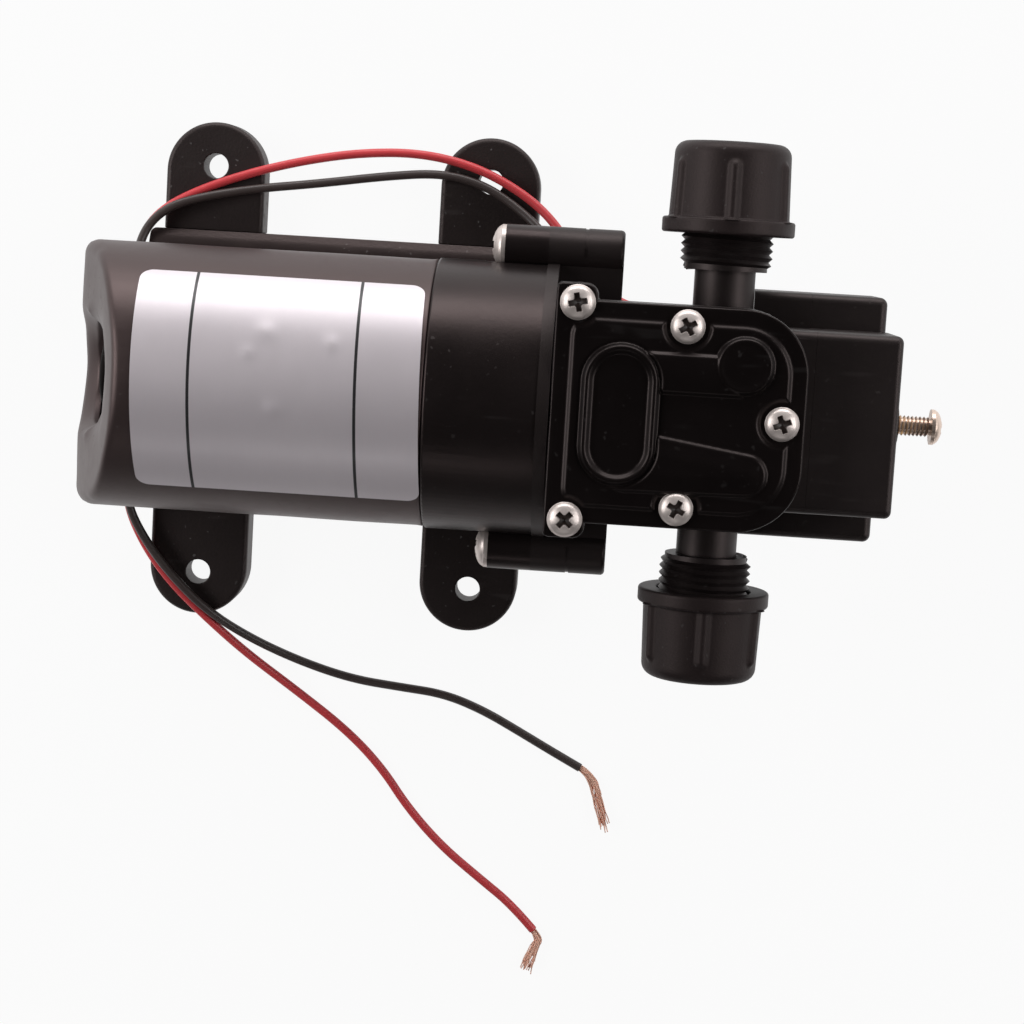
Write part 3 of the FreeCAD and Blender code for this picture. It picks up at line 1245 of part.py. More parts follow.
# Wires: straight runs joined by tangent arcs, each as large as its two runs allow
def wire_path(places):
    edges = []
    start = places[0]
    radii = []
    for before, corner, after in zip(places, places[1:], places[2:]):
        inward, outward = corner - before, after - corner
        run = min(inward.Length, outward.Length)
        inward.normalize()
        outward.normalize()
        turn = inward.getAngle(outward)
        trim = 0.45 * run
        radii.append(trim / math.tan(turn / 2))
        first, last = corner - inward * trim, corner + outward * trim
        bisector = (outward - inward).normalize()
        centre = corner + bisector * (radii[-1] / math.cos(turn / 2))
        middle = centre - bisector * radii[-1]
        edges.append(Part.LineSegment(start, first).toShape())
        edges.append(Part.Arc(first, middle, last).toShape())
        start = last
    edges.append(Part.LineSegment(start, places[-1]).toShape())
    return Part.Wire(edges), radii


def wire_tube(label, places):
    path, radii = wire_path(places)
    first = path.Edges[0]
    radius = number("wire_radius")
    circle = Part.makeCircle(radius, first.valueAt(first.FirstParameter),
                             first.tangentAt(first.FirstParameter))
    tube = path.makePipeShell([Part.Wire(circle)], True, False)
    expected = math.pi * radius ** 2 * path.Length
    print("%s: length %.1f, radii %.1f to %.1f diameters, volume %.4f of section times length" % (
        label, path.Length, min(radii) / radius / 2, max(radii) / radius / 2, tube.Volume / expected))
    free_shape(label, tube)


# Corners of each wire after it has left its bush in the boot; the motor wires end in the third bush
MOTOR_WIRES = {
    "motor_wire_red": [(-40.2, 26.0, 8.9), (-36.6, 31.0, 8.1), (-29.2, 35.2, 8.0), (-19.6, 38.9, 8.0),
                       (-9.0, 41.9, 8.0), (1.6, 43.9, 8.2), (12.6, 44.5, 8.4), (22.6, 42.8, 8.3),
                       (31.0, 39.2, 8.4), (38.0, 34.4, 9.2), (43.0, 28.2, 10.8), (47.8, 21.9, 12.6),
                       (54.0, 17.6, 15.2), (61.0, 17.4, 17.0)],
    "motor_wire_black": [(-39.4, 27.0, 10.6), (-35.5, 31.2, 10.1), (-29.4, 33.5, 9.7), (-19.0, 35.8, 8.4),
                         (-6.6, 37.5, 8.1), (6.4, 39.7, 8.2), (17.2, 40.9, 8.4), (25.4, 39.2, 8.3),
                         (32.2, 35.2, 8.7), (37.6, 30.6, 10.4), (42.2, 25.0, 13.2), (48.0, 18.9, 15.6),
                         (56.0, 15.3, 16.6)],
}
SUPPLY_WIRES = {
    "supply_wire_black": [(-40.4, -27.4, 10.8), (-36.4, -34.6, 9.9), (-30.9, -41.1, 9.6), (-24.1, -47.3, 8.9),
                          (-15.8, -52.8, 5.2), (-5.9, -57.4, 1.9), (4.4, -60.4, 0.95), (14.2, -61.4, 0.9),
                          (23.0, -62.2, 0.9), (31.0, -65.0, 0.9), (38.8, -69.0, 0.9), (45.4, -72.5, 0.9),
                          (51.1, -75.4, 0.9)],
    "supply_wire_red": [(-41.0, -27.0, 9.2), (-37.5, -34.8, 8.2), (-32.2, -41.7, 8.0), (-25.4, -47.9, 7.9),
                        (-17.0, -55.6, 4.8), (-6.6, -63.4, 1.6), (3.8, -70.9, 0.95), (11.2, -78.0, 0.9),
                        (17.0, -86.0, 0.9), (24.2, -93.4, 0.9), (32.4, -99.6, 0.9), (39.2, -104.6, 0.9),
                        (43.7, -109.4, 0.9)],
}
STRAND_TIPS = {"supply_strands_black": ("supply_wire_black", (54.0, -82.0, 1.3), (56.4, -88.2, 1.3)),
               "supply_strands_red": ("supply_wire_red", (43.4, -113.4, 1.3), (43.0, -117.8, 1.3))}


def make_wires():
    for side, wires in ((1, MOTOR_WIRES), (-1, SUPPLY_WIRES)):
        centre, way, upward = grommet_axis(side)
        for label, places in wires.items():
            level = 1 if "black" in label else -1
            start = centre + upward * (level * number("wire_spacing") / 2)
            route = [start - way * 1.4, start + way * 4] + [FreeCAD.Vector(*place) for place in places]
            if side > 0:
                entry = point("end_block_start", "wire_entry_across", "wire_entry_height")
                entry = entry - ENTRY_SPREAD * (level * number("wire_spacing") / 2)
                route += [entry - FreeCAD.Vector(8.6, 0, 0), entry + FreeCAD.Vector(1.4, 0, 0)]
            wire_tube(label, route)
    for label, (wire, middle, tip) in STRAND_TIPS.items():
        strand_bundle(label, *[FreeCAD.Vector(*place) for place in SUPPLY_WIRES[wire][-2:] + [middle, tip]])


def strand_bundle(label, before, root, middle, tip):
    # bare strands leave the sheath straight, swell up to the middle and close again towards the tip
    way = (root - before).normalize()
    thin, thick, last = [number(name) for name in ("wire_radius", "strand_radius", "strand_tip_radius")]
    turn = root + way * number("strand_straight")
    neck = Part.makeCylinder(thin, number("strand_straight"), root, way)
    swell = Part.makeCone(thin, thick, (middle - turn).Length, turn, middle - turn)
    end = Part.makeCone(thick, last, (tip - middle).Length, middle, tip - middle)
    shape = neck.fuse([Part.makeSphere(thin, turn), swell, Part.makeSphere(thick, middle), end])
    # the ground is flat: what would reach below it is cut off
    reach = (tip - root).Length + thick
    corner = FreeCAD.Vector(middle.x - reach, middle.y - reach, number("ground_clearance") - thick * 2)
    ground = Part.makeBox(2 * reach, 2 * reach, thick * 2, corner)
    free_shape(label, shape.cut(ground).removeSplitter())


make_base()
for end, end_name in ((-1, "rear"), (1, "front")):
    for side, side_name in ((1, "left"), (-1, "right")):
        make_foot("foot_%s_%s" % (end_name, side_name), end, side)
make_motor_shell()
make_magnets()
make_brushes()
make_armature()
make_label()
make_front_housing()
make_pump_body()
make_plates()
make_screws()
make_caps()
make_drive()
make_valves()
make_switch()
make_grommets()
make_wires()
doc.recompute()

# Nothing is written while any object is broken
for item in doc.Objects:
    if {"Invalid", "Error"} & set(item.State):
        raise RuntimeError("%s is broken: %s" % (item.Label, item.State))
for label, item in nodes.items():
    if item.Shape.isNull() or not item.Shape.isValid() or not item.Shape.Solids:
        raise RuntimeError("%s has no sound shape" % label)
for label, item in nodes.items():
    item.Shape.exportStep("parts/%s.step" % label)
print("%d parts written" % len(nodes))
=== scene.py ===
import json
import math
import random

import bmesh
import bpy
from mathutils import Matrix, Vector, noise

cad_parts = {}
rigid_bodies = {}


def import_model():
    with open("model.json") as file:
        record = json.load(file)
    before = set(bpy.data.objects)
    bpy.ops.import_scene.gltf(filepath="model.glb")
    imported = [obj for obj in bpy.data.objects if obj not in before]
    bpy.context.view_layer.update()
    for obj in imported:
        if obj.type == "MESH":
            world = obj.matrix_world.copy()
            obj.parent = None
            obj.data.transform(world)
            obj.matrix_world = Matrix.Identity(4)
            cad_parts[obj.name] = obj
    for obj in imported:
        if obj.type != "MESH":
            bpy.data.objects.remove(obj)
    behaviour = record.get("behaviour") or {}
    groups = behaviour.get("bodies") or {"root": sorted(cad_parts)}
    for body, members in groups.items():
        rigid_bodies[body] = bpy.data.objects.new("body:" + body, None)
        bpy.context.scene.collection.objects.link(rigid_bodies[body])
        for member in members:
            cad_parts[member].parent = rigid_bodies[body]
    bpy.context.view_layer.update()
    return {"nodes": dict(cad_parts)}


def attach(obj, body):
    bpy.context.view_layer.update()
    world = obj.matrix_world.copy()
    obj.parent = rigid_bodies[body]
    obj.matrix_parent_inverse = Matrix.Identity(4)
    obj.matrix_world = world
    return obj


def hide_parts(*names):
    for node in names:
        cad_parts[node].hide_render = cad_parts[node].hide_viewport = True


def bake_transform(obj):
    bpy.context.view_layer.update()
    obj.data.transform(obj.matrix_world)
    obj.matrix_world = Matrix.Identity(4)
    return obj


# Diaphragm water pump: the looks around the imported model. Metres, in the model's own frame.
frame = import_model()
mm = 0.001

# Axes that several pieces share, in millimetres
shaftHeight = 31.0
portAlong = 71.6
portHeight = 38.0
adjusterHeight = 39.5


def report(stage):
    print("stage:", stage)


def shown(name, data):
    made = bpy.data.objects.new(name, data)
    bpy.context.scene.collection.objects.link(made)
    return made


# Shader writing


class Value:
    # a socket that can be added, subtracted and multiplied like a number
    def __init__(self, finish, socket):
        self.finish, self.socket = finish, socket

    def maths(self, operation, *others):
        return self.finish.maths(operation, self, *others)

    def __add__(self, other):
        return self.maths("ADD", other)

    def __mul__(self, other):
        return self.maths("MULTIPLY", other)

    def __sub__(self, other):
        return self.maths("SUBTRACT", other)

    def __rsub__(self, other):
        return self.finish.maths("SUBTRACT", other, self)

    __radd__ = __add__
    __rmul__ = __mul__

    def above(self, edge, soft):
        return self.finish.climb(self, edge - soft, edge + soft)

    def size(self):
        return self.maths("ABSOLUTE")


class Finish:
    # a material, or the world; node() takes a type, its settings and the values or links of its sockets
    def __init__(self, name, world=None):
        self.material = world or bpy.data.materials.new(name)
        self.material.use_nodes = True
        self.tree = self.material.node_tree
        self.tree.nodes.clear()

    def node(self, kind, settings=None, sockets=None, output=0):
        made = self.tree.nodes.new(kind)
        for name, value in (settings or {}).items():
            setattr(made, name, value)
        for key, value in (sockets or {}).items():
            socket = made.inputs[key]
            if isinstance(value, Value):
                self.tree.links.new(value.socket, socket)
            elif socket.type == "RGBA" and len(value) == 3:
                socket.default_value = (*value, 1)
            else:
                socket.default_value = value
        return Value(self, made.outputs[output]) if made.outputs else made

    def maths(self, operation, *terms):
        return self.node("ShaderNodeMath", {"operation": operation}, dict(enumerate(terms)))

    def climb(self, value, start, end, low=0.0, high=1.0):
        # a soft step from low to high while the value goes from start to end
        return self.node("ShaderNodeMapRange", {"interpolation_type": "SMOOTHSTEP"},
                         {0: value, 1: start, 2: end, 3: low, 4: high})

    def axis(self, name, kind="Object"):
        spot = self.node("ShaderNodeTexCoord", output=kind)
        return self.node("ShaderNodeSeparateXYZ", None, {0: spot}, name)

    def cloud(self, size, detail, stretch=(1, 1, 1)):
        # noise whose blotches are about this size in metres
        spot = self.node("ShaderNodeTexCoord", output="Object")
        if stretch != (1, 1, 1):
            spot = self.node("ShaderNodeMapping", None, {"Vector": spot, "Scale": stretch})
        return self.node("ShaderNodeTexNoise", None,
                         {"Vector": spot, "Scale": 0.6 / size, "Detail": detail, "Roughness": 0.55}, "Fac")

    def mix(self, share, first, second):
        # colours: sockets 6 and 7 of the Mix node, output 2
        return self.node("ShaderNodeMix", {"data_type": "RGBA"}, {0: share, 6: first, 7: second}, 2)

    def surface(self, sockets, height, depth):
        bumps = self.node("ShaderNodeBump", None, {"Height": height, "Distance": depth})
        shader = self.node("ShaderNodeBsdfPrincipled", None, {**sockets, "Normal": bumps}, "BSDF")
        self.node("ShaderNodeOutputMaterial", None, {"Surface": shader})
        return self.material


# Finishes. Moulded black parts differ in how dark, how glossy, how grained and how dusty they are
mouldedLooks = {
    "nylon": dict(dark=(0.009, 0.0066, 0.0066), light=(0.023, 0.0175, 0.017), rough=0.48, spread=0.18,
                  grain=0.00035, bump=0.00004, dust=0.3, scratch=0.25),
    "basePlastic": dict(dark=(0.013, 0.009, 0.009), light=(0.031, 0.022, 0.021), rough=0.4, spread=0.18,
                        grain=0.00035, bump=0.00003, dust=0.2, scratch=0.25, specular=0.8,
                        tint=(1.0, 0.78, 0.76)),
    "capNylon": dict(dark=(0.0125, 0.0086, 0.0087), light=(0.025, 0.018, 0.018), rough=0.5, grain=0.00028,
                     bump=0.00003, dust=0.1, scratch=0.08, specular=0.3),
    "bodyPlastic": dict(dark=(0.0045, 0.0033, 0.0033), light=(0.012, 0.009, 0.009), rough=0.47,
                        grain=0.0006, bump=0.000014),
    "lidPlastic": dict(dark=(0.0035, 0.0026, 0.0026), light=(0.0075, 0.0055, 0.0055), rough=0.31,
                       grain=0.0007, scratch=0.12, specular=0.26),
    "housingPaint": dict(dark=(0.0055, 0.0042, 0.0042), light=(0.012, 0.0092, 0.0092), rough=0.34,
                         spread=0.14, grain=0.0005, bump=0.000012, dust=0.05, scratch=0.16, specular=0.44,
                         tint=(1.0, 0.76, 0.74)),
    "bootRubber": dict(dark=(0.019, 0.013, 0.013), light=(0.034, 0.0235, 0.0232), rough=0.44, spread=0.14,
                       grain=0.0011, bump=0.00002, dust=0.06, scratch=0.05, specular=0.9,
                       tint=(1.0, 0.75, 0.73)),
    "bellPlastic": dict(dark=(0.003, 0.003, 0.003), light=(0.006, 0.0055, 0.005), rough=0.65, spread=0.1,
                        grain=0.0006, dust=0.0, scratch=0.05, specular=0.12),
    "sealRubber": dict(dark=(0.01, 0.01, 0.01), light=(0.022, 0.021, 0.021), rough=0.6, spread=0.1,
                       dust=0.02, scratch=0.0),
    "rodPlastic": dict(dark=(0.62, 0.6, 0.55), light=(0.74, 0.73, 0.69), rough=0.42, spread=0.1,
                       grain=0.0005, dust=0.0, scratch=0.05),
    "switchPlastic": dict(dark=(0.012, 0.012, 0.013), light=(0.03, 0.03, 0.032), rough=0.35, spread=0.1,
                          dust=0.02, scratch=0.05),
    "buttonPlastic": dict(dark=(0.35, 0.03, 0.02), light=(0.5, 0.06, 0.04), rough=0.35, spread=0.1,
                          bump=0.000005, dust=0.0, scratch=0.0),
    "carbon": dict(dark=(0.015, 0.015, 0.016), light=(0.05, 0.05, 0.052), rough=0.5, spread=0.2,
                   grain=0.0002, bump=0.00002, dust=0.0),
}


# Patches of tone, dust specks and hairline scratches: sizes in metres, an edge as a place and a softness
wearSizes = dict(broad=0.009, speck=0.0007, speckEdge=(0.73, 0.03), speckPatch=0.012,
                 speckPatchEdge=(0.5, 0.12), speckGloss=0.15, hair=0.0016, hairStretch=(0.12, 1, 1),
                 hairEdge=(0.66, 0.05), hairPatch=0.008, hairPatchEdge=(0.52, 0.06), hairTone=0.12,
                 hairGloss=0.7, hairDepth=0.6, paleFrom=0.32, paleShare=0.5)


def moulded(name, dark, light, rough, spread=0.12, grain=0.0004, bump=0.00001, dust=0.03, scratch=0.1,
            specular=0.5, tint=(1.0, 0.82, 0.80)):
    s = wearSizes
    finish = Finish(name)
    broad = finish.cloud(s["broad"], 4)
    fine = finish.cloud(grain, 2)
    specks = finish.cloud(s["speck"], 1).above(*s["speckEdge"])
    specks = specks * finish.cloud(s["speckPatch"], 2).above(*s["speckPatchEdge"])
    hairlines = finish.cloud(s["hair"], 2, s["hairStretch"]).above(*s["hairEdge"])
    hairlines = hairlines * finish.cloud(s["hairPatch"], 2).above(*s["hairPatchEdge"])
    pale = tuple(min(1, s["paleFrom"] + s["paleShare"] * part) for part in light)
    worn = specks * dust + hairlines * (scratch * s["hairTone"])
    tone = finish.mix(worn, finish.mix(broad, dark, light), pale)
    gloss = (broad - 0.5) * spread + fine * (spread * 0.4) + specks * s["speckGloss"]
    gloss = gloss + hairlines * (scratch * s["hairGloss"]) + (rough - spread * 0.2)
    relief = fine - hairlines * (s["hairDepth"] * scratch) + broad * 0.8
    return finish.surface({"Base Color": tone, "Roughness": gloss, "Specular IOR Level": specular,
                           "Specular Tint": tint}, relief, bump)


turnedLines = (1, 0.05, 0.05)
# The two screw finishes carry painted shade in their cross recesses
metalLooks = {
    "screwSteel": dict(colour=(0.82, 0.73, 0.69), shade=(0.55, 0.47, 0.44), rough=0.38, bump=0.000008,
                       metallic=0.62, recessShade=True),
    "zincSteel": dict(colour=(0.84, 0.68, 0.58), shade=(0.60, 0.44, 0.35), rough=0.32, bump=0.000001,
                      metallic=0.8, recessShade=True),
    "turnedSteel": dict(colour=(0.56, 0.56, 0.57), shade=(0.33, 0.33, 0.34), rough=0.3, brush=turnedLines),
    "bearingSteel": dict(colour=(0.66, 0.66, 0.68), shade=(0.45, 0.45, 0.47), rough=0.18,
                         brush=turnedLines, bump=0.000004),
    "ferrite": dict(colour=(0.07, 0.07, 0.075), shade=(0.035, 0.035, 0.04), rough=0.6, bump=0.00003),
    "bronze": dict(colour=(0.52, 0.35, 0.17), shade=(0.35, 0.21, 0.09), rough=0.4, bump=0.00002),
    "brass": dict(colour=(0.72, 0.53, 0.25), shade=(0.5, 0.34, 0.14), rough=0.28, brush=turnedLines),
    "aluminium": dict(colour=(0.72, 0.72, 0.73), shade=(0.5, 0.5, 0.51), rough=0.32, brush=(0.05, 0.05, 1)),
    "windingCopper": dict(colour=(0.50, 0.19, 0.07), shade=(0.26, 0.08, 0.03), rough=0.25,
                          brush=(0.1, 1, 1), bump=0.0001),
    "commutatorCopper": dict(colour=(0.72, 0.36, 0.2), shade=(0.4, 0.19, 0.1), rough=0.3, brush=turnedLines),
    "strandCopper": dict(colour=(1.0, 0.64, 0.50), shade=(0.98, 0.52, 0.38), rough=0.46, bump=0.0000005,
                         metallic=0.15),
    "canSteel": dict(colour=(0.10, 0.10, 0.105), shade=(0.05, 0.05, 0.055), rough=0.35, brush=(0.2, 1, 1)),
}


# The recess tone is painted shade inside the screws' cross recesses
metalGrain = dict(broad=0.004, line=0.00025, stain=0.0025, stainEdge=(0.62, 0.08), broadTone=0.45,
                  stainTone=0.35, lineGloss=0.12, stainGloss=0.12, recessShadeTone=(0.035, 0.022, 0.018))


def metal(name, colour, shade, rough, brush=(1, 1, 1), bump=0.00001, metallic=1.0, recessShade=False):
    s = metalGrain
    finish = Finish(name)
    broad = finish.cloud(s["broad"], 3)
    lines = finish.cloud(s["line"], 2, brush)
    stain = finish.cloud(s["stain"], 4).above(*s["stainEdge"])
    tone = finish.mix(broad * s["broadTone"] + stain * s["stainTone"], colour, shade)
    if recessShade:  # the cross recess carries its own attribute and is painted with shade inside
        hollow = finish.node("ShaderNodeAttribute", {"attribute_name": "recess"}, None, "Fac")
        tone = finish.mix(hollow, tone, s["recessShadeTone"])
        metallic = (1 - hollow) * metallic
    gloss = lines * s["lineGloss"] + stain * s["stainGloss"] + (rough - s["lineGloss"] / 2)
    return finish.surface({"Base Color": tone, "Metallic": metallic, "Roughness": gloss},
                          lines + broad * 0.5, bump)


labelSizes = dict(rear=-31.9, front=18.6, halfAngle=50.6, twist=2.6, radius=24.7, clearance=0.02,
                  thickness=0.2, underside=0.04, corner=2.4, skew=0.025, stretch=1.011, rules=(-21.9, 7.6),
                  ruleWidth=0.55, ruleSoft=0.04, ripple=0.10, rippleEdge=3, rippleScale=(0.09, 0.07, 1.3),
                  blister=0.22, cornerSteps=8, alongSteps=60, acrossSteps=56,
                  blisters=((-8.6, 9.5, 1.6), (-11.5, 5.5, 1.0), (-6.8, -4.2, 1.3), (3.0, 8.0, 1.2)))
labelLook = dict(silver=(0.80, 0.735, 0.765), shade=(0.66, 0.595, 0.64), rule=(0.02, 0.018, 0.02), rough=0.38,
                 metallic=0.4, ripple=0.011, scuff=0.0012, scuffStretch=(1, 0.3, 0.3), coat=0.25,
                 coatRough=0.2, bump=0.00012)


def labelFilm():
    # satin silver film, faintly rippled, with the two dark dividing lines of the photographed label
    s, look = labelSizes, labelLook
    finish = Finish("labelFilm")
    along = finish.axis("X") + finish.axis("Y") * s["skew"]
    ripple = finish.cloud(look["ripple"], 2)
    scuff = finish.cloud(look["scuff"], 3, look["scuffStretch"])
    tone = finish.mix(ripple * 0.5 + scuff * 0.2, look["silver"], look["shade"])
    rules = None
    for place in s["rules"]:
        line = (along - place * mm).size().above(s["ruleWidth"] * mm / 2, s["ruleSoft"] * mm)
        rules = line if rules is None else rules * line
    tone = finish.mix(rules, look["rule"], tone)
    return finish.surface({"Base Color": tone, "Metallic": rules * look["metallic"],
                           "Roughness": scuff * 0.1 + look["rough"], "Coat Weight": look["coat"],
                           "Coat Roughness": look["coatRough"]}, ripple + scuff * 0.06, look["bump"])


sheathLooks = {
    "redSheath": dict(dark=(0.64, 0.046, 0.056), light=(0.80, 0.080, 0.090)),
    "blackSheath": dict(dark=(0.042, 0.031, 0.029), light=(0.072, 0.054, 0.051)),
}
sheathGrain = dict(broad=0.006, fine=0.0016, rough=0.38, coat=0.12, coatRough=0.3, bump=0.000008)


def sheath(name, dark, light):
    # soft wire sheath: smooth, slightly uneven along its length
    s = sheathGrain
    finish = Finish(name)
    broad = finish.cloud(s["broad"], 3)
    fine = finish.cloud(s["fine"], 2)
    tone = finish.mix(broad, dark, light)
    return finish.surface({"Base Color": tone, "Roughness": fine * 0.08 + s["rough"],
                           "Coat Weight": s["coat"], "Coat Roughness": s["coatRough"]},
                          fine * 0.3 + broad, s["bump"])


finishes = {"labelFilm": labelFilm()}
for make, looks in ((moulded, mouldedLooks), (metal, metalLooks), (sheath, sheathLooks)):
    finishes.update({name: make(name, **look) for name, look in looks.items()})
report("finishes")


# Camera: the photograph's angle, solved from its symmetric pairs
cameraSizes = dict(lens=84.375, sensor=36, near=0.01, distance=0.44645, aim=(0.035506, -0.02122, 0.031),
                   tilt=(6.54, -2.1, -3.43))


def makeCamera():
    s = cameraSizes
    tilts = [Matrix.Rotation(math.radians(angle), 3, axis) for angle, axis in zip(s["tilt"], "XYZ")]
    turn = (tilts[2] @ tilts[0] @ tilts[1]).transposed()
    camera = shown("camera", bpy.data.cameras.new("camera"))
    camera.data.lens = s["lens"]
    camera.data.sensor_width = s["sensor"]
    camera.data.clip_start = s["near"]
    place = Vector(s["aim"]) + turn @ Vector((0, 0, s["distance"]))
    camera.matrix_world = Matrix.Translation(place) @ turn.to_4x4()
    bpy.context.scene.camera = camera


makeCamera()
report("camera")


# Wires: NURBS curves on the same points as the model's tubes, in millimetres
wireSizes = dict(radius=0.85, spacing=1.9, stations=12, sides=6)
bushPlace = dict(along=-41.0, across=17.5, up=13.5, way=(0.1, 0.85, -0.5), depth=1.4, lead=4.0)
entryPlace = dict(spot=(77.5, 16.0, 17.2), spread=(0, 0.74, 0.67), lead=8.6, depth=1.4)
redWire = dict(finish="redSheath", slot="red_sheath")
blackWire = dict(finish="blackSheath", slot="black_sheath")
wireRoutes = {
    "motorWireRed": dict(redWire, node="motor_wire_red", side=1, level=-1, points=[
        (-40.2, 26.0, 8.9), (-36.6, 31.0, 8.1), (-29.2, 35.2, 8.0), (-19.6, 38.9, 8.0), (-9.0, 41.9, 8.0),
        (1.6, 43.9, 8.2), (12.6, 44.5, 8.4), (22.6, 42.8, 8.3), (31.0, 39.2, 8.4), (38.0, 34.4, 9.2),
        (43.0, 28.2, 10.8), (47.8, 21.9, 12.6), (54.0, 17.6, 15.2), (61.0, 17.4, 17.0)]),
    "motorWireBlack": dict(blackWire, node="motor_wire_black", side=1, level=1, points=[
        (-39.4, 27.0, 10.6), (-35.5, 31.2, 10.1), (-29.4, 33.5, 9.7), (-19.0, 35.8, 8.4), (-6.6, 37.5, 8.1),
        (6.4, 39.7, 8.2), (17.2, 40.9, 8.4), (25.4, 39.2, 8.3), (32.2, 35.2, 8.7), (37.6, 30.6, 10.4),
        (42.2, 25.0, 13.2), (48.0, 18.9, 15.6), (56.0, 15.3, 16.6)]),
    "supplyWireBlack": dict(blackWire, node="supply_wire_black", side=-1, level=1, points=[
        (-40.4, -27.4, 10.8), (-36.4, -34.6, 9.9), (-30.9, -41.1, 9.6), (-24.1, -47.3, 8.9),
        (-15.8, -52.8, 5.2), (-5.9, -57.4, 1.9), (4.4, -60.4, 0.95), (14.2, -61.4, 0.9), (23.0, -62.2, 0.9),
        (31.0, -65.0, 0.9), (38.8, -69.0, 0.9), (45.4, -72.5, 0.9), (51.1, -75.4, 0.9)]),
    "supplyWireRed": dict(redWire, node="supply_wire_red", side=-1, level=-1, points=[
        (-41.0, -27.0, 9.2), (-37.5, -34.8, 8.2), (-32.2, -41.7, 8.0), (-25.4, -47.9, 7.9),
        (-17.0, -55.6, 4.8), (-6.6, -63.4, 1.6), (3.8, -70.9, 0.95), (11.2, -78.0, 0.9), (17.0, -86.0, 0.9),
        (24.2, -93.4, 0.9), (32.4, -99.6, 0.9), (39.2, -104.6, 0.9), (43.7, -109.4, 0.9)]),
}
strandSizes = dict(count=40, radius=0.11, points=28, bundle=0.55, swell=0.65, flat=0.55, twist=2.2,
                   longReach=(0.86, 1.0), shortReach=(0.6, 0.85), shortShare=0.25, stray=0.42, wobble=0.25,
                   lowest=0.16, tucked=1.0, lead=2.4)
strandEnds = {
    "supplyWireBlack": dict(middle=(54.9, -80.6, 1.3), tip=(57.1, -88.4, 1.3), node="supply_strands_black"),
    "supplyWireRed": dict(middle=(43.9, -113.2, 1.3), tip=(42.4, -117.6, 1.3), node="supply_strands_red"),
}


def wirePoints(side, level, points):
    way = Vector(bushPlace["way"])
    way.y *= side
    way.normalize()
    across = way.cross(Vector((0, 0, 1))).normalized()
    start = Vector((bushPlace["along"], bushPlace["across"] * side, bushPlace["up"]))
    start += across.cross(way) * (level * wireSizes["spacing"] / 2)
    route = [start - way * bushPlace["depth"], start + way * bushPlace["lead"]]
    route += [Vector(point) for point in points]
    if side > 0:
        entry = Vector(entryPlace["spot"])
        entry -= Vector(entryPlace["spread"]).normalized() * (level * wireSizes["spacing"] / 2)
        route += [entry - Vector((entryPlace["lead"], 0, 0)), entry + Vector((entryPlace["depth"], 0, 0))]
    return route


def nurbs(name, points):
    curve = bpy.data.curves.new(name, "CURVE")
    curve.dimensions = "3D"
    curve.resolution_u = wireSizes["stations"]
    curve.bevel_depth = wireSizes["radius"] * mm
    curve.bevel_resolution = wireSizes["sides"]
    curve.use_fill_caps = True
    spline = curve.splines.new("NURBS")
    spline.points.add(len(points) - 1)
    for point, spot in zip(spline.points, points):
        point.co = (*(Vector(spot) * mm), 1)
    spline.order_u = 3
    spline.use_endpoint_u = True
    return shown(name, curve)


wires = {}
for wireName, route in wireRoutes.items():
    route["path"] = wirePoints(route["side"], route["level"], route["points"])
    wires[wireName] = nurbs(wireName, route["path"])
    wires[wireName].data.materials.append(finishes[route["finish"]])
report("wires")


# Pieces: every mesh is made in place, in metres, and all but the spring halves ride a body of the model
def paint(made, finish):
    made.data.materials.clear()
    made.data.materials.append(finishes[finish])


def settle(made, finish, body, slotName, *stoodFor):
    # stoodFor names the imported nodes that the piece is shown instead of
    if finish:
        paint(made, finish)
    if stoodFor:
        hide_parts(*stoodFor)
    if body:
        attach(made, body)
    return made


def meshObject(name, build, smooth):
    # a bmesh becomes an object; edges sharper than the limit, in degrees, stay crisp
    bmesh.ops.remove_doubles(build, verts=build.verts, dist=1e-7)
    bmesh.ops.recalc_face_normals(build, faces=build.faces)
    made = shown(name, bpy.data.meshes.new(name))
    build.to_mesh(made.data)
    build.free()
    made.data.shade_smooth()
    if smooth:
        made.data.set_sharp_from_angle(angle=math.radians(smooth))
    return made


def applied(made):
    # the evaluated mesh replaces the object's own, and its modifiers go
    made.data = bpy.data.meshes.new_from_object(made.evaluated_get(bpy.context.evaluated_depsgraph_get()))
    made.modifiers.clear()
    return made


easing = dict(segments=2, limit=32, weight=80)


def cadCopy(name, node, bevel, change=None, flat=0.4, smooth=38):
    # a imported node's mesh, merged, its flat faces joined and its edges eased
    build = bmesh.new()
    build.from_mesh(frame["nodes"][node].data)
    bmesh.ops.remove_doubles(build, verts=build.verts, dist=1e-6)
    bmesh.ops.dissolve_limit(build, angle_limit=math.radians(flat), verts=build.verts, edges=build.edges)
    if change:
        change(build)
    made = meshObject(name, build, smooth)
    if bevel:
        edges = made.modifiers.new("easedEdges", "BEVEL")
        edges.width = bevel * mm
        edges.segments = easing["segments"]
        edges.limit_method = "ANGLE"
        edges.angle_limit = math.radians(easing["limit"])
        edges.use_clamp_overlap = True
        made = applied(made)
        made.data.shade_smooth()
        made.data.set_sharp_from_angle(angle=math.radians(smooth))
        level = made.modifiers.new("levelFaces", "WEIGHTED_NORMAL")
        level.weight = easing["weight"]
        level.keep_sharp = True
        made = applied(made)
    return made


def grid(build, rows, closeRound=False):
    # quads between rows of places in millimetres
    placed = [[build.verts.new(Vector(place) * mm) for place in row] for row in rows]
    for first, second in zip(placed, placed[1:]):
        count = len(first)
        for index in range(count if closeRound else count - 1):
            after = (index + 1) % count
            build.faces.new((first[index], first[after], second[after], second[index]))
    return placed


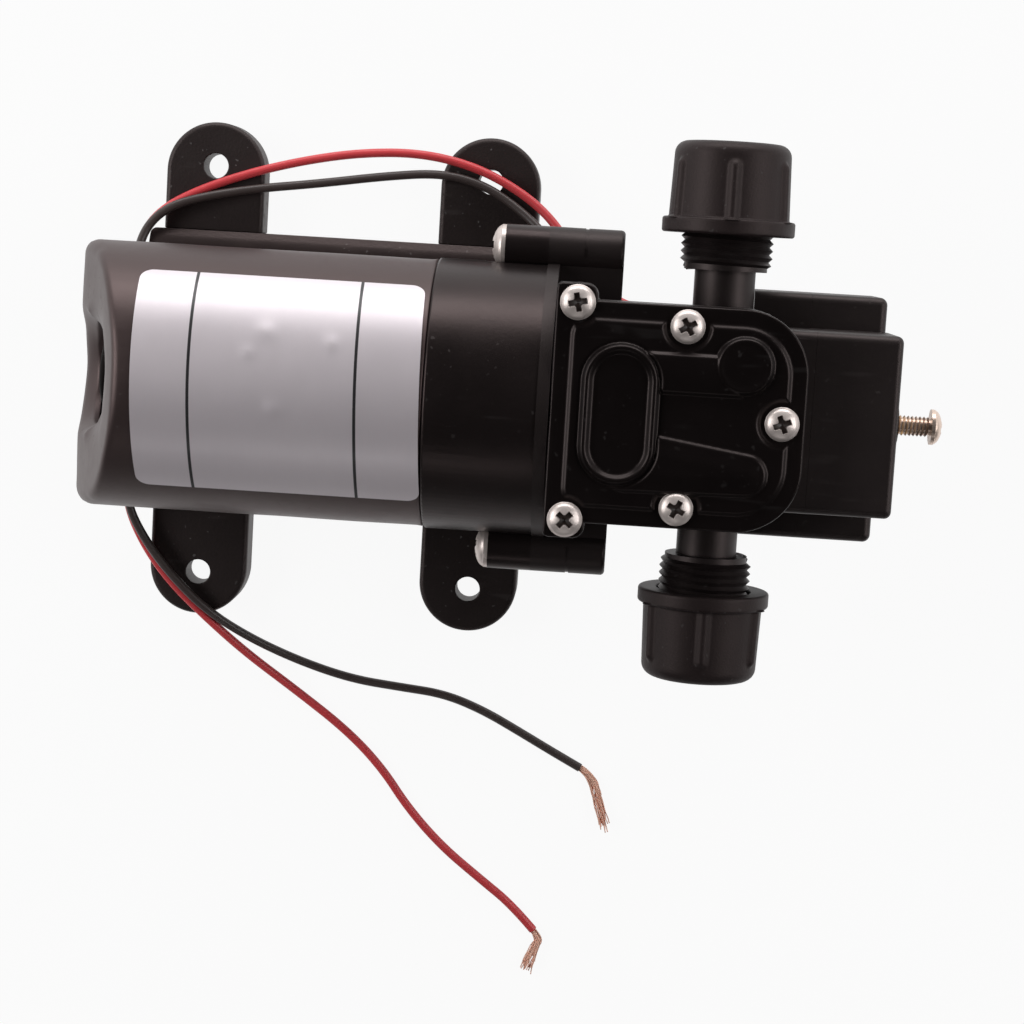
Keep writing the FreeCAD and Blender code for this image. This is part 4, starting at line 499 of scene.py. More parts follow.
def lathe(profile, steps, spot, closed=True):
    # profile of (along, radius); spot turns (along, radius, angle) into a place
    build = bmesh.new()
    angles = [2 * math.pi * step / steps for step in range(steps)]
    rows = [[spot(along, radius, angle) for angle in angles] for along, radius in profile]
    placed = grid(build, rows, closeRound=True)
    if closed:
        for ring in (placed[0], placed[-1]):
            build.faces.new(ring)
    return build


def rounded(corners, steps):
    # (along, radius, rounding) corners become a smooth profile
    profile = []
    for index, corner in enumerate(corners):
        place = Vector(corner[:2])
        if len(corner) < 3 or not 0 < index < len(corners) - 1:
            profile.append(tuple(place))
            continue
        back = (Vector(corners[index - 1][:2]) - place).normalized()
        ahead = (Vector(corners[index + 1][:2]) - place).normalized()
        half = back.angle(ahead) / 2
        trim = corner[2] / math.tan(half)
        centre = place + (back + ahead).normalized() * (corner[2] / math.sin(half))
        first, last = place + back * trim - centre, place + ahead * trim - centre
        for step in range(steps + 1):
            blend = first.slerp(last, step / steps)
            profile.append(tuple(centre + blend.normalized() * corner[2]))
    return profile


def stationed(profile, longest):
    # extra stations along the straight runs
    result = [profile[0]]
    for first, last in zip(profile, profile[1:]):
        count = max(1, math.ceil(math.dist(first, last) / longest))
        result += [tuple(Vector(first).lerp(Vector(last), step / count)) for step in range(1, count + 1)]
    return result


def limited(value):
    return min(1.0, max(0.0, value))


def eased(distance, slope):
    # 1 well inside, 0 outside, eased over the slope
    share = limited(0.5 - distance / (2 * slope))
    return share * share * (3 - 2 * share)


# Motor boot: a soft sleeve, its end wall leaning forward and dished round the hole
bootSizes = dict(radius=24.7, rear=-48.3, front=19.5, wall=1.7, shoulder=2.6, squareness=7.0, topStart=0.3,
                 topReach=0.5, hole=9.5, lean=0.445, leanStart=-3.9, innerLean=0.33, innerStart=-10.0,
                 ease=4.0, leanFrom=-8, leanReach=20, wave=0.16, waveDepth=0.6, waveScale=(0.07, 2.2),
                 dent=0.4, dentScale=(0.12, 1.9), softFrom=5, softReach=3, dish=2.4, dishLow=1.4,
                 dishHigh=6.0, lipInner=0.2, lipOuter=0.5, holeOuter=0.7, holeInner=0.3, innerCorner=1.2,
                 bendSteps=9, stations=0.9, steps=160)


def bootPlace(along, radius, angle):
    s = bootSizes
    upper = limited((math.sin(angle) - s["topStart"]) / s["topReach"])
    centre, reach = s["rear"] + s["shoulder"], s["radius"] - s["shoulder"]
    if along < centre and radius > reach:
        # the shoulder is round at the sides and nearly square on top
        back, out = (centre - along) / s["shoulder"], (radius - reach) / s["shoulder"]
        power = 2 + s["squareness"] * upper
        fuller = math.hypot(back, out) / (back ** power + out ** power) ** (1 / power)
        along, radius = centre - back * fuller * s["shoulder"], reach + out * fuller * s["shoulder"]
    up = radius * math.sin(angle)
    ramp = lambda rise: (rise + math.hypot(rise, s["ease"])) / 2
    lean = s["lean"] * ramp(up - s["leanStart"])
    if radius < s["radius"] - s["wall"] + 0.01 and along > s["rear"] + s["wall"] - 0.01:
        lean = min(lean, s["innerLean"] * ramp(up - s["innerStart"]))
    share = limited((s["leanFrom"] - along) / s["leanReach"])
    if radius > s["radius"] - s["waveDepth"] and along < s["front"] - 0.5:
        scale, turning = s["waveScale"]
        spot = Vector((along * scale, turning * math.cos(angle), turning * math.sin(angle)))
        radius -= s["wave"] * (0.5 + 0.5 * noise.noise(spot))
    soft = limited((s["rear"] + s["softFrom"] - along) / s["softReach"])
    scale, turning = s["dentScale"]
    spot = Vector((turning * math.cos(angle), turning * math.sin(angle), scale * radius))
    along += soft * s["dent"] * (0.5 + 0.5 * noise.noise(spot))
    dishReach = s["dishLow"] + (s["dishHigh"] - s["dishLow"]) * upper
    along += soft * s["dish"] * math.exp(-((radius - s["hole"]) / dishReach) ** 2)
    return along + lean * share, radius * math.cos(angle), shaftHeight + radius * math.sin(angle)


def makeBoot():
    s = bootSizes
    inner = s["radius"] - s["wall"]
    start, back = (s["front"] - 1, inner), s["rear"] + s["wall"]
    outline = rounded([start, (s["front"], inner, s["lipInner"]), (s["front"], s["radius"], s["lipOuter"]),
                       (s["rear"], s["radius"], s["shoulder"]), (s["rear"], s["hole"], s["holeOuter"]),
                       (back, s["hole"], s["holeInner"]), (back, inner, s["innerCorner"]), start],
                      s["bendSteps"])
    build = lathe(stationed(outline, s["stations"]), s["steps"], bootPlace, closed=False)
    settle(meshObject("motorBoot", build, 60), "bootRubber", "pump", "boot_rubber", "motor_boot")


makeBoot()
report("boot")


# Label: a thin silver sheet bent over the boot, blistered in a few places
def labelPlace(along, turn, radius):
    turn += math.radians(labelSizes["twist"])
    return along, radius * math.sin(turn), shaftHeight + radius * math.cos(turn)


def labelLift(place, arc, edge):
    # how far the film's outer face stands off the boot, flat at its edges
    s = labelSizes
    along, around, phase = s["rippleScale"]
    ripple = noise.noise(Vector((place * along, arc * around, phase)))
    lift = s["thickness"] + s["ripple"] * ripple * min(1, edge / s["rippleEdge"])
    middle = (s["rear"] + s["front"]) / 2
    for x, y, size in s["blisters"]:
        lift += s["blister"] * math.exp(-((place + middle - x) ** 2 + (arc - y) ** 2) / size ** 2)
    return lift


def makeLabel():
    s = labelSizes
    reach = math.radians(s["halfAngle"]) * s["radius"]
    middle = (s["rear"] + s["front"]) / 2
    half = (s["front"] - s["rear"]) / 2
    straight = half - s["corner"]
    bends = [step / s["cornerSteps"] * math.pi / 2 for step in range(s["cornerSteps"], -1, -1)]
    ends = [half - s["corner"] * (1 - math.sin(bend)) for bend in bends]
    between = [straight - step * 2 * straight / s["alongSteps"] for step in range(1, s["alongSteps"])]
    rows = {"outer": [], "inner": []}
    for place in ends + between + [-place for place in reversed(ends)]:
        inset = max(0.0, abs(place) - straight)
        width = reach - s["corner"] + math.sqrt(max(0.0, s["corner"] ** 2 - inset ** 2))
        for face, row in rows.items():
            line = []
            for step in range(s["acrossSteps"] + 1):
                arc = width * (2 * step / s["acrossSteps"] - 1)
                edge = min(half - abs(place), reach - abs(arc))
                lift = labelLift(place, arc, edge) if face == "outer" else s["underside"]
                line.append(labelPlace(place * s["stretch"] + middle - arc * s["skew"], arc / s["radius"],
                                       s["radius"] + s["clearance"] + max(lift, s["clearance"])))
            row.append(line)
    build = bmesh.new()
    outer, inner = (grid(build, row) for row in rows.values())
    border = lambda placed: (placed[0] + [row[-1] for row in placed[1:]] + placed[-1][-2::-1]
                             + [row[0] for row in placed[-2:0:-1]])
    outerRing, innerRing = border(outer), border(inner)
    for index in range(len(outerRing)):
        after = (index + 1) % len(outerRing)
        build.faces.new((outerRing[index], outerRing[after], innerRing[after], innerRing[index]))
    settle(meshObject("ratingLabel", build, 50), "labelFilm", "pump", "label_film", "rating_label")


makeLabel()
report("label")


# Lid: one height field over the plate's outline, with its ring, boss, channels and screw seats
lidSizes = dict(left=41.9, right=86.5, half=19.5, corner=11.5, rearCorner=0.8, cornersFrom=60, tabHalf=22.3,
                tabEnd=49.2, tabCorner=2.2, tabCornersFrom=46, under=53.6, level=56.2, plateau=0.6,
                plateauSlope=0.525, plateauCorner=3.0, inset=3.2, relief=1.7, reliefSlope=0.6, slope=0.75,
                channel=1.2, channelMiddle=7.7, channelHalf=3.7, crown=0.35, crownSlope=0.3, cell=0.24,
                edge=0.45, bends=5, ring=(54.0, 6.7, 5.7), ringWall=1.5, ringRecess=0.9,
                boss=(75.3, 9.7, 5.05), bossWall=1.1, bossDip=0.12, bossSlope=0.5,
                lowStart=(56.0, -8.0, 5.6), lowEnd=(76.6, -9.3, 3.9), lowWall=2.2, lowRise=0.3, lowSlope=1.6,
                seat=4.1, screws=((45.7, 19.0), (45.7, -19.0), (65.0, 15.9), (65.0, -15.9), (82.4, 0.0)))


def boxDistance(x, y, left, right, half, corner):
    # signed distance to a box from left to right and -half to half, its corners rounded
    across = max(left + corner - x, x - right + corner)
    up = abs(y) - half + corner
    return math.hypot(max(across, 0), max(up, 0)) + min(max(across, up), 0) - corner


def barDistance(x, y, start, end):
    # signed distance to a bar between two round ends, each (x, y, radius)
    way = Vector(end[:2]) - Vector(start[:2])
    away = Vector((x, y)) - Vector(start[:2])
    share = limited(away.dot(way) / way.length_squared)
    return (away - way * share).length - (start[2] + (end[2] - start[2]) * share)


def lidOutline(x, y):
    s = lidSizes
    main = boxDistance(x, y, s["left"], s["right"], s["half"],
                       s["corner"] if x > s["cornersFrom"] else s["rearCorner"])
    tab = boxDistance(x, y, s["left"], s["tabEnd"], s["tabHalf"],
                      s["tabCorner"] if x > s["tabCornersFrom"] else s["rearCorner"])
    return min(main, tab)


def lidHeight(x, y):
    s = lidSizes
    seats = min(math.hypot(x - a, y - b) for a, b in s["screws"]) - s["seat"]
    plateau = boxDistance(x, y, s["left"] + s["inset"], s["right"] - s["inset"], s["half"] - s["inset"],
                          s["corner"] - s["inset"] if x > s["cornersFrom"] else s["plateauCorner"])
    height = s["plateau"] * eased(max(plateau, -seats), s["plateauSlope"])
    place, radius, spread = s["ring"]
    ring = barDistance(x, y, (place, -spread, radius), (place, spread, radius))
    outside = eased(-ring, s["crownSlope"])
    across = (y - s["channelMiddle"]) / s["channelHalf"]
    upper = max((abs(across) - 1) * s["channelHalf"], place - x, x - s["boss"][0])
    crown = s["crown"] * max(0.0, 1 - across ** 2) * outside
    height = max(height, (s["channel"] + crown) * eased(upper, s["slope"]))
    lower = barDistance(x, y, s["lowStart"], s["lowEnd"])
    rise = s["lowRise"] * eased(lower + s["lowWall"], s["lowSlope"]) * outside
    height = max(height, s["channel"] * eased(lower, s["slope"]) + rise)
    boss = math.hypot(x - s["boss"][0], y - s["boss"][1]) - s["boss"][2]
    dip = s["bossDip"] * eased(boss + s["bossWall"], s["bossSlope"])
    height = max(height, s["relief"] * eased(boss, s["reliefSlope"]) - dip)
    recess = s["ringRecess"] * eased(ring + s["ringWall"], s["reliefSlope"])
    height = max(height * (1 - eased(ring, s["slope"])), s["relief"] * eased(ring, s["reliefSlope"]) - recess)
    return s["level"] + height


def steepest(distance, x, y, reach=0.01):
    way = Vector((distance(x + reach, y) - distance(x - reach, y),
                  distance(x, y + reach) - distance(x, y - reach)))
    return way.normalized() if way.length else Vector((1, 0))


def makeLid():
    s = lidSizes
    build = bmesh.new()
    places = {}
    columns = round((s["right"] - s["left"]) / s["cell"])
    rows = round(2 * s["tabHalf"] / s["cell"])
    for column in range(columns + 1):
        for row in range(rows + 1):
            x = s["left"] + (s["right"] - s["left"]) * column / columns
            y = s["tabHalf"] * (2 * row / rows - 1)
            if lidOutline(x, y) < -s["edge"] - s["cell"] * 0.3:
                places[column, row] = build.verts.new((x * mm, y * mm, lidHeight(x, y) * mm))
    for (column, row), corner in places.items():
        square = [(column + 1, row), (column + 1, row + 1), (column, row + 1)]
        if all(key in places for key in square):
            build.faces.new([corner] + [places[key] for key in square])
    for vertex in [vertex for vertex in build.verts if not vertex.link_faces]:
        build.verts.remove(vertex)
    border = [edge for edge in build.edges if edge.is_boundary]
    for bend in range(s["bends"] + 1):
        # the first ring settles on the line where the edge rounding starts, the others go round it
        angle = math.pi / 2 * min(1.0, bend / (s["bends"] - 1))
        inset = s["edge"] * (1 - math.sin(angle))
        drop = s["edge"] * (1 - math.cos(angle))
        if bend:
            grown = bmesh.ops.extrude_edge_only(build, edges=border)["geom"]
            border = [item for item in grown if isinstance(item, bmesh.types.BMEdge) and item.is_boundary]
        for vertex in {vertex for edge in border for vertex in edge.verts}:
            for turn in range(3):
                x, y = vertex.co.x / mm, vertex.co.y / mm
                way = steepest(lidOutline, x, y) * (lidOutline(x, y) + inset)
                vertex.co.x, vertex.co.y = (x - way.x) * mm, (y - way.y) * mm
            vertex.co.z = (s["under"] if bend == s["bends"] else s["level"] - drop) * mm
    bmesh.ops.contextual_create(build, geom=border)
    bmesh.ops.triangulate(build, faces=[face for face in build.faces if len(face.verts) > 4])
    settle(meshObject("lid.cover", build, None), "lidPlastic", "pump", "body_plastic", "lid")


makeLid()
report("lid")


# Screws: one cross recess head, placed by a node tree at every visible screw
headSizes = dict(radius=3.3, height=2.2, dome=1.2, edge=0.8, edgeDrop=0.62, skirt=0.28, slot=1.05, reach=3.5,
                 depth=1.45, floorRise=0.62, wallSlope=0.06, fillet=0.9, filletTurn=0.72, filletFall=0.6,
                 sunk=0.02, rings=51, ringPower=0.92, steps=96)
steelScrew = dict(slot="screw_steel", finish="screwSteel", body="pump")
screwPlaces = {
    "lidScrews": dict(steelScrew, node="lid_screws", way=(0, 0, 1), seats=[
        ((*place, lidSizes["level"]), radius, twist) for place, radius, twist in
        zip(lidSizes["screws"], (3.1, 3.1, 3.0, 3.0, 3.0), (12, 48, 30, 63, 22))]),
    "bodyScrews": dict(steelScrew, node="body_screws", way=(-1, 0, 0), seats=[
        ((31.5, 27.9, shaftHeight), 3.9, 0), ((31.5, -27.9, shaftHeight), 3.9, 30)]),
    "switchScrews": dict(steelScrew, node="switch_screws", way=(1, 0, 0), seats=[
        ((98.2, 18.6, 23.5), 2.9, 15), ((98.2, -18.6, 23.5), 2.9, 50)]),
    "baseScrews": dict(steelScrew, node="base_screws", way=(0, 0, -1), seats=[
        ((29.5, 6.0, 3.6), 3.0, 0), ((29.5, -6.0, 3.6), 3.0, 35)]),
    "adjusterHead": dict(slot="zinc_steel", finish="zincSteel", body="adjusting_screw", way=(1, 0, 0), seats=[
        ((110.2, 0.0, adjusterHeight), 3.2, 20)]),
}


def headForm(x, y):
    # a domed pan head with a tapering cross recess, its seat at zero: height and how deep in the recess
    s = headSizes
    radius = math.hypot(x, y)
    if radius >= s["radius"]:
        return 0.0, 0.0
    rim = max(0.0, radius - s["radius"] + s["edge"])
    height = s["height"] - s["dome"] * (radius / s["radius"]) ** 2
    turned = 1 - math.sqrt(max(0.0, 1 - (rim / s["edge"]) ** 2))
    height -= (s["height"] - s["dome"]) * s["edgeDrop"] * turned
    reach, half = s["reach"] / 2, s["slot"] / 2
    arm = min(max(abs(x) - reach, abs(y) - half), max(abs(y) - reach, abs(x) - half))
    fillet = s["slot"] * s["fillet"] - (abs(x) + abs(y)) * s["filletTurn"]
    share = eased(min(arm, -fillet * s["filletFall"]), s["wallSlope"])
    floor = s["depth"] * (1 - s["floorRise"] * min(1.0, radius / reach))
    return height - share * floor, share


def makeHead():
    s = headSizes
    build = bmesh.new()
    rows = []
    for ring in range(1, s["rings"] + 1):
        radius = s["radius"] * (ring / s["rings"]) ** s["ringPower"]
        line = []
        for turn in range(s["steps"]):
            angle = 2 * math.pi * turn / s["steps"]
            x, y = radius * math.cos(angle), radius * math.sin(angle)
            # a hair inside the edge, where the head still has its height
            line.append((x, y, max(headForm(x * 0.9999, y * 0.9999)[0], s["height"] * s["skirt"])))
        rows.append(line)
    rows.append([(x, y, -s["sunk"]) for x, y, top in rows[-1]])
    placed = grid(build, rows, closeRound=True)
    middle = build.verts.new((0, 0, headForm(0, 0)[0] * mm))
    for turn in range(s["steps"]):
        build.faces.new((middle, placed[0][turn], placed[0][(turn + 1) % s["steps"]]))
    build.faces.new(placed[-1])
    made = meshObject("headMaster", build, 50)
    recess = made.data.attributes.new("recess", "FLOAT", "POINT")
    for vertex in made.data.vertices:
        recess.data[vertex.index].value = headForm(vertex.co.x / mm, vertex.co.y / mm)[1]
    return made


class Tree:
    # a geometry node tree: named inputs first, then nodes made from a type, settings and socket values
    def __init__(self, name, inputs):
        self.tree = bpy.data.node_groups.new(name, "GeometryNodeTree")
        self.tree.interface.new_socket("Geometry", in_out="INPUT", socket_type="NodeSocketGeometry")
        self.ids = {}
        for label, kind in inputs.items():
            made = self.tree.interface.new_socket(label, in_out="INPUT", socket_type="NodeSocket" + kind)
            self.ids[label] = made.identifier
        self.tree.interface.new_socket("Geometry", in_out="OUTPUT", socket_type="NodeSocketGeometry")
        self.start = self.tree.nodes.new("NodeGroupInput")
        self.end = self.tree.nodes.new("NodeGroupOutput")

    def node(self, kind, settings=None, sockets=None, output=0):
        made = self.tree.nodes.new(kind)
        for name, value in (settings or {}).items():
            setattr(made, name, value)
        for key, value in (sockets or {}).items():
            if isinstance(value, bpy.types.NodeSocket):
                self.tree.links.new(value, made.inputs[key])
            else:
                made.inputs[key].default_value = value
        return made.outputs[output]

    def given(self, label):
        return self.start.outputs[label]

    def close(self, geometry):
        real = self.node("GeometryNodeRealizeInstances", None, {0: geometry})
        painted = self.node("GeometryNodeSetMaterial", None, {0: real, "Material": self.given("Finish")})
        self.tree.links.new(painted, self.end.inputs[0])

    def sweep(self, line, section):
        self.close(self.node("GeometryNodeCurveToMesh", None,
                             {"Curve": line, "Profile Curve": section, "Fill Caps": True}))

    def run(self, made, values):
        # sets the inputs by identifier, evaluates once and leaves a plain mesh
        modifier = made.modifiers.new("tree", "NODES")
        modifier.node_group = self.tree
        for label, value in values.items():
            modifier[self.ids[label]] = value
        result = applied(made)
        result.data.shade_smooth()
        return result


def pointsObject(name, places, edges=()):
    mesh = bpy.data.meshes.new(name)
    mesh.from_pydata([Vector(place) * mm for place in places], edges, [])
    return shown(name, mesh)


def screwTree():
    tree = Tree("screwHeads", {"Head": "Object", "Head radius": "Float", "Finish": "Material"})
    head = tree.node("GeometryNodeObjectInfo", {"transform_space": "ORIGINAL"},
                     {"Object": tree.given("Head")}, "Geometry")
    turn = tree.node("GeometryNodeInputNamedAttribute", {"data_type": "FLOAT_VECTOR"}, {"Name": "turn"})
    radius = tree.node("GeometryNodeInputNamedAttribute", {"data_type": "FLOAT"}, {"Name": "radius"})
    size = tree.node("ShaderNodeMath", {"operation": "DIVIDE"}, {0: radius, 1: tree.given("Head radius")})
    turned = tree.node("FunctionNodeEulerToRotation", None, {0: turn})
    placed = tree.node("GeometryNodeInstanceOnPoints", None, {
        "Points": tree.given("Geometry"), "Instance": head, "Rotation": turned, "Scale": size})
    tree.close(placed)
    return tree


def makeScrews():
    tree = screwTree()
    head = makeHead()
    for name, s in screwPlaces.items():
        made = pointsObject(name, [seat[0] for seat in s["seats"]])
        made.data.attributes.new("turn", "FLOAT_VECTOR", "POINT")
        made.data.attributes.new("radius", "FLOAT", "POINT")
        turns, radii = made.data.attributes["turn"], made.data.attributes["radius"]
        for index, (place, radius, twist) in enumerate(s["seats"]):
            spin = Vector(s["way"]).to_track_quat("Z", "Y")
            spin = spin @ Matrix.Rotation(math.radians(twist), 3, "Z").to_quaternion()
            turns.data[index].vector = spin.to_euler()
            radii.data[index].value = radius
        made = tree.run(made, {"Head": head, "Head radius": headSizes["radius"],
                               "Finish": finishes[s["finish"]]})
        made.data.set_sharp_from_angle(angle=math.radians(40))
        settle(made, None, s["body"], s["slot"], *([s["node"]] if "node" in s else []))
    bpy.data.objects.remove(head)


makeScrews()
report("screws")


# Threads: a ridge wound round a core, for both ports and the adjusting screw
portThread = dict(radius=8.33, depth=0.86, pitch=1.337, length=18.0, slot="body_plastic",
                  finish="bodyPlastic", body="pump")
threadSizes = {
    "inletThread": dict(portThread, centre=(portAlong, 26.3, portHeight), way=(0, 1, 0)),
    "outletThread": dict(portThread, centre=(portAlong, -26.3, portHeight), way=(0, -1, 0)),
    "adjusterThread": dict(centre=(99.2, 0.0, adjusterHeight), way=(1, 0, 0), radius=1.85, depth=0.36,
                           pitch=0.7, length=10.9, slot="zinc_steel", finish="zincSteel",
                           body="adjusting_screw"),
}
threadSunk = 0.1  # how deep the ridge stands in its core
threadFade = 0.75  # how much of it is gone at its two ends


def threadTree():
    # all lengths in metres; the ridge is a four sided section swept along a spiral
    tree = Tree("threadRidge", {"Core radius": "Float", "Ridge": "Float", "Length": "Float", "Turns": "Float",
                                "Finish": "Material"})
    spiral = tree.node("GeometryNodeCurveSpiral", None, {
        "Resolution": 48, "Rotations": tree.given("Turns"), "Start Radius": tree.given("Core radius"),
        "End Radius": tree.given("Core radius"), "Height": tree.given("Length")})
    steady = tree.node("GeometryNodeSetCurveNormal", {"mode": "Z_UP"}, {0: spiral})
    section = tree.node("GeometryNodeCurvePrimitiveCircle", {"mode": "RADIUS"},
                        {"Resolution": 4, "Radius": tree.given("Ridge")})
    tree.sweep(steady, section)
    return tree


def makeThreads():
    tree = threadTree()
    for name, s in threadSizes.items():
        length, pitch = s["length"] * mm, s["pitch"] * mm
        made = tree.run(pointsObject(name, [(0, 0, 0)]), {
            "Core radius": (s["radius"] - s["depth"] + threadSunk) * mm,
            "Ridge": (s["depth"] - threadSunk) * mm, "Length": length, "Turns": length / pitch,
            "Finish": finishes[s["finish"]]})
        for vertex in made.data.vertices:
            # the ridge fades into the core over its first and last turn
            fade = limited(min(vertex.co.z, length - vertex.co.z) / pitch)
            shrink = 1 - threadFade * s["depth"] / s["radius"] * (1 - fade) ** 2
            vertex.co.x *= shrink
            vertex.co.y *= shrink
        made.data.set_sharp_from_angle(angle=math.radians(50))
        made.data.transform(Matrix.Translation(Vector(s["centre"]) * mm)
                            @ Vector(s["way"]).to_track_quat("Z", "Y").to_matrix().to_4x4())
        settle(made, None, s["body"], s["slot"])


makeThreads()
report("threads")


# Dust caps: ribbed covers over the threads, a little narrower towards their ends
capSizes = dict(start=32.2, end=48.6, bore=8.63, floor=46.6, centre=0.3, flange=11.95, flangeThick=2.8,
                body=10.75, taper=0.35, rounding=2.2, ribs=6, ribHalf=1.05, ribHeight=0.75, ribReach=13.1,
                ribFoot=0.45, ribPower=1.15, shoulder=1.2, wall=3.0, stations=0.34, steps=288)


def capPlace(side):
    s = capSizes
    top = s["start"] + s["flangeThick"]

    def place(along, radius, angle):
        if radius > s["body"] - s["wall"] and along > top - 0.2:
            pitch = 2 * math.pi / s["ribs"]
            arc = ((angle + pitch / 2) % pitch - pitch / 2) * s["body"]
            tip = s["start"] + s["ribReach"] - s["ribHalf"]
            away = math.hypot(arc, max(0.0, along - tip)) / (s["ribHalf"] + s["ribFoot"])
            rib = 0.5 + 0.5 * math.cos(math.pi * min(1.0, away ** s["ribPower"]))
            shoulder = limited((radius - s["body"] + s["shoulder"]) / s["shoulder"])
            rise = max(0.0, along - top) / (s["end"] - top)
            radius += rib * s["ribHeight"] * shoulder - s["taper"] * rise
        return portAlong + radius * math.sin(angle), side * along, portHeight + radius * math.cos(angle)

    return place


def makeCaps():
    s = capSizes
    top = s["start"] + s["flangeThick"]
    outline = rounded([(s["floor"], s["centre"]), (s["floor"], s["bore"]), (s["start"], s["bore"], 0.3),
                       (s["start"], s["flange"], 0.5), (top, s["flange"], 0.5), (top, s["body"] + 0.1, 0.35),
                       (s["end"], s["body"], s["rounding"]), (s["end"], s["centre"])], 7)
    for name, side in (("inlet", 1), ("outlet", -1)):
        build = lathe(stationed(outline, s["stations"]), s["steps"], capPlace(side))
        settle(meshObject(name + "Cap", build, 60), "capNylon", name + "_cap", "nylon", name + "_cap")


makeCaps()
report("caps")


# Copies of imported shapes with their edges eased. On the pump body the ports go inside their threads and the
# seams round the two ears get shallow, and the base's long upper edges fall away outwards
bodyTrims = dict(earOut=27.9, seam=(45.9, 46.7), seamInner=3.3, seamOuter=3.85, portFrom=60, portStart=25.75,
                 portCore=7.47)
baseTrims = dict(start=24.4, top=10.6, fall=0.55)


def cutAcross(build, place, way, **cleared):
    bmesh.ops.bisect_plane(build, geom=build.verts[:] + build.edges[:] + build.faces[:], dist=1e-7,
                           plane_co=Vector(place) * mm, plane_no=way, **cleared)


def turnDownPorts(build):
    s = bodyTrims
    for vertex in build.verts:
        x, y, z = vertex.co / mm
        spoke = Vector((abs(y) - s["earOut"], z - shaftHeight))
        onSeam = s["seam"][0] < x < s["seam"][1] and s["seamInner"] < spoke.length < s["seamOuter"]
        if onSeam and spoke.x > 0:
            spoke = spoke.normalized() * s["seamOuter"]
            vertex.co = Vector((x, math.copysign(s["earOut"] + spoke.x, y), shaftHeight + spoke.y)) * mm
        away = Vector((x - portAlong, z - portHeight))
        if abs(y) > s["portStart"] and x > s["portFrom"] and away.length > s["portCore"]:
            away = away.normalized() * s["portCore"]
            vertex.co = Vector((portAlong + away.x, y, portHeight + away.y)) * mm


def slopeEdges(build):
    s = baseTrims
    for side in (-1, 1):
        cutAcross(build, (0, side * s["start"], 0), (0, 1, 0))
    for vertex in build.verts:
        out = abs(vertex.co.y) - s["start"] * mm
        if out > 0 and abs(vertex.co.z - s["top"] * mm) < 0.01 * mm:
            vertex.co.z -= out * s["fall"]


copies = {
    "pumpBody": dict(node="pump_body", finish="bodyPlastic", slot="body_plastic", bevel=0.3,
                     change=turnDownPorts),
    "frontHousing": dict(node="front_housing", finish="housingPaint", slot="housing_paint", bevel=0.3),
    "basePlate": dict(node="base_plate", finish="basePlastic", slot="nylon", bevel=0.2, change=slopeEdges),
    **{"foot" + end + side: dict(node=f"foot_{end}_{side}".lower(), finish="nylon", slot="nylon", bevel=0.25)
       for end in ("Rear", "Front") for side in ("Left", "Right")},
    "valvePlate": dict(node="valve_plate", finish="bodyPlastic", slot="body_plastic", bevel=0.2),
    "switchCover": dict(node="switch_cover", finish="bodyPlastic", slot="body_plastic", bevel=0.2),
    "rearBell": dict(node="rear_bell", finish="bellPlastic", slot="bell_plastic", bevel=0.3),
}


def makeCopies():
    for name, s in copies.items():
        made = cadCopy(name, s["node"], s["bevel"], s.get("change"))
        settle(made, s["finish"], "pump", s["slot"], s["node"])


makeCopies()
report("copies of packed nodes")


# The adjusting screw's shank, thinner than the thread that is wound round it
shankSizes = dict(rear=98.9, chamfer=0.3, front=110.4, radius=1.5, tip=1.35, centre=0.2, steps=40)


def makeShank():
    s = shankSizes
    profile = [(s["rear"], s["centre"]), (s["rear"], s["tip"]), (s["rear"] + s["chamfer"], s["radius"]),
               (s["front"], s["radius"]), (s["front"], s["centre"])]
    build = lathe(profile, s["steps"], lambda along, radius, angle: (
        along, radius * math.cos(angle), adjusterHeight + radius * math.sin(angle)))
    settle(meshObject("adjusterShank", build, 40), "zincSteel", "adjusting_screw", "zinc_steel",
           "adjusting_screw")


makeShank()
report("adjuster shank")


# The pressure spring in two halves, either side of one cut
springCut = 91.6
springHalves = {
    "pressureSpringRear": dict(outward=1, bodies=("plunger", "pump"), reach=(90.3, springCut)),
    "pressureSpringFront": dict(outward=-1, bodies=("pump", "spring_seat"), reach=(springCut, 96.8)),
}


def makeSpring():
    for name, s in springHalves.items():
        def halve(build):
            cutAcross(build, (springCut, 0, 0), (s["outward"], 0, 0), clear_outer=True)
            bmesh.ops.holes_fill(build, edges=[edge for edge in build.edges if edge.is_boundary])

        made = cadCopy(name, "pressure_spring", 0, halve, flat=0.1, smooth=60)
        settle(made, "turnedSteel", None, "shaft_steel", "pressure_spring")
        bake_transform(made)


makeSpring()
report("spring")


# Bare copper strands at the ends of the supply wires
def bundleLine(controls, share):
    # a quadratic B-spline through the ends, as the wires are
    knots = len(controls) - 2
    place = min(share, 0.9999) * knots  # the very end belongs to the last span
    index = int(place)
    local = place - index
    middle = controls[index + 1]
    first = controls[index] if index == 0 else (controls[index] + middle) / 2
    last = controls[index + 2] if index == knots - 1 else (middle + controls[index + 2]) / 2
    return first * (1 - local) ** 2 + middle * 2 * local * (1 - local) + last * local ** 2


def strandTree():
    tree = Tree("copperStrands", {"Thickness": "Float", "Finish": "Material"})
    lines = tree.node("GeometryNodeMeshToCurve", None, {0: tree.given("Geometry")})
    section = tree.node("GeometryNodeCurvePrimitiveCircle", {"mode": "RADIUS"},
                        {"Resolution": 6, "Radius": tree.given("Thickness")})
    tree.sweep(lines, section)
    return tree


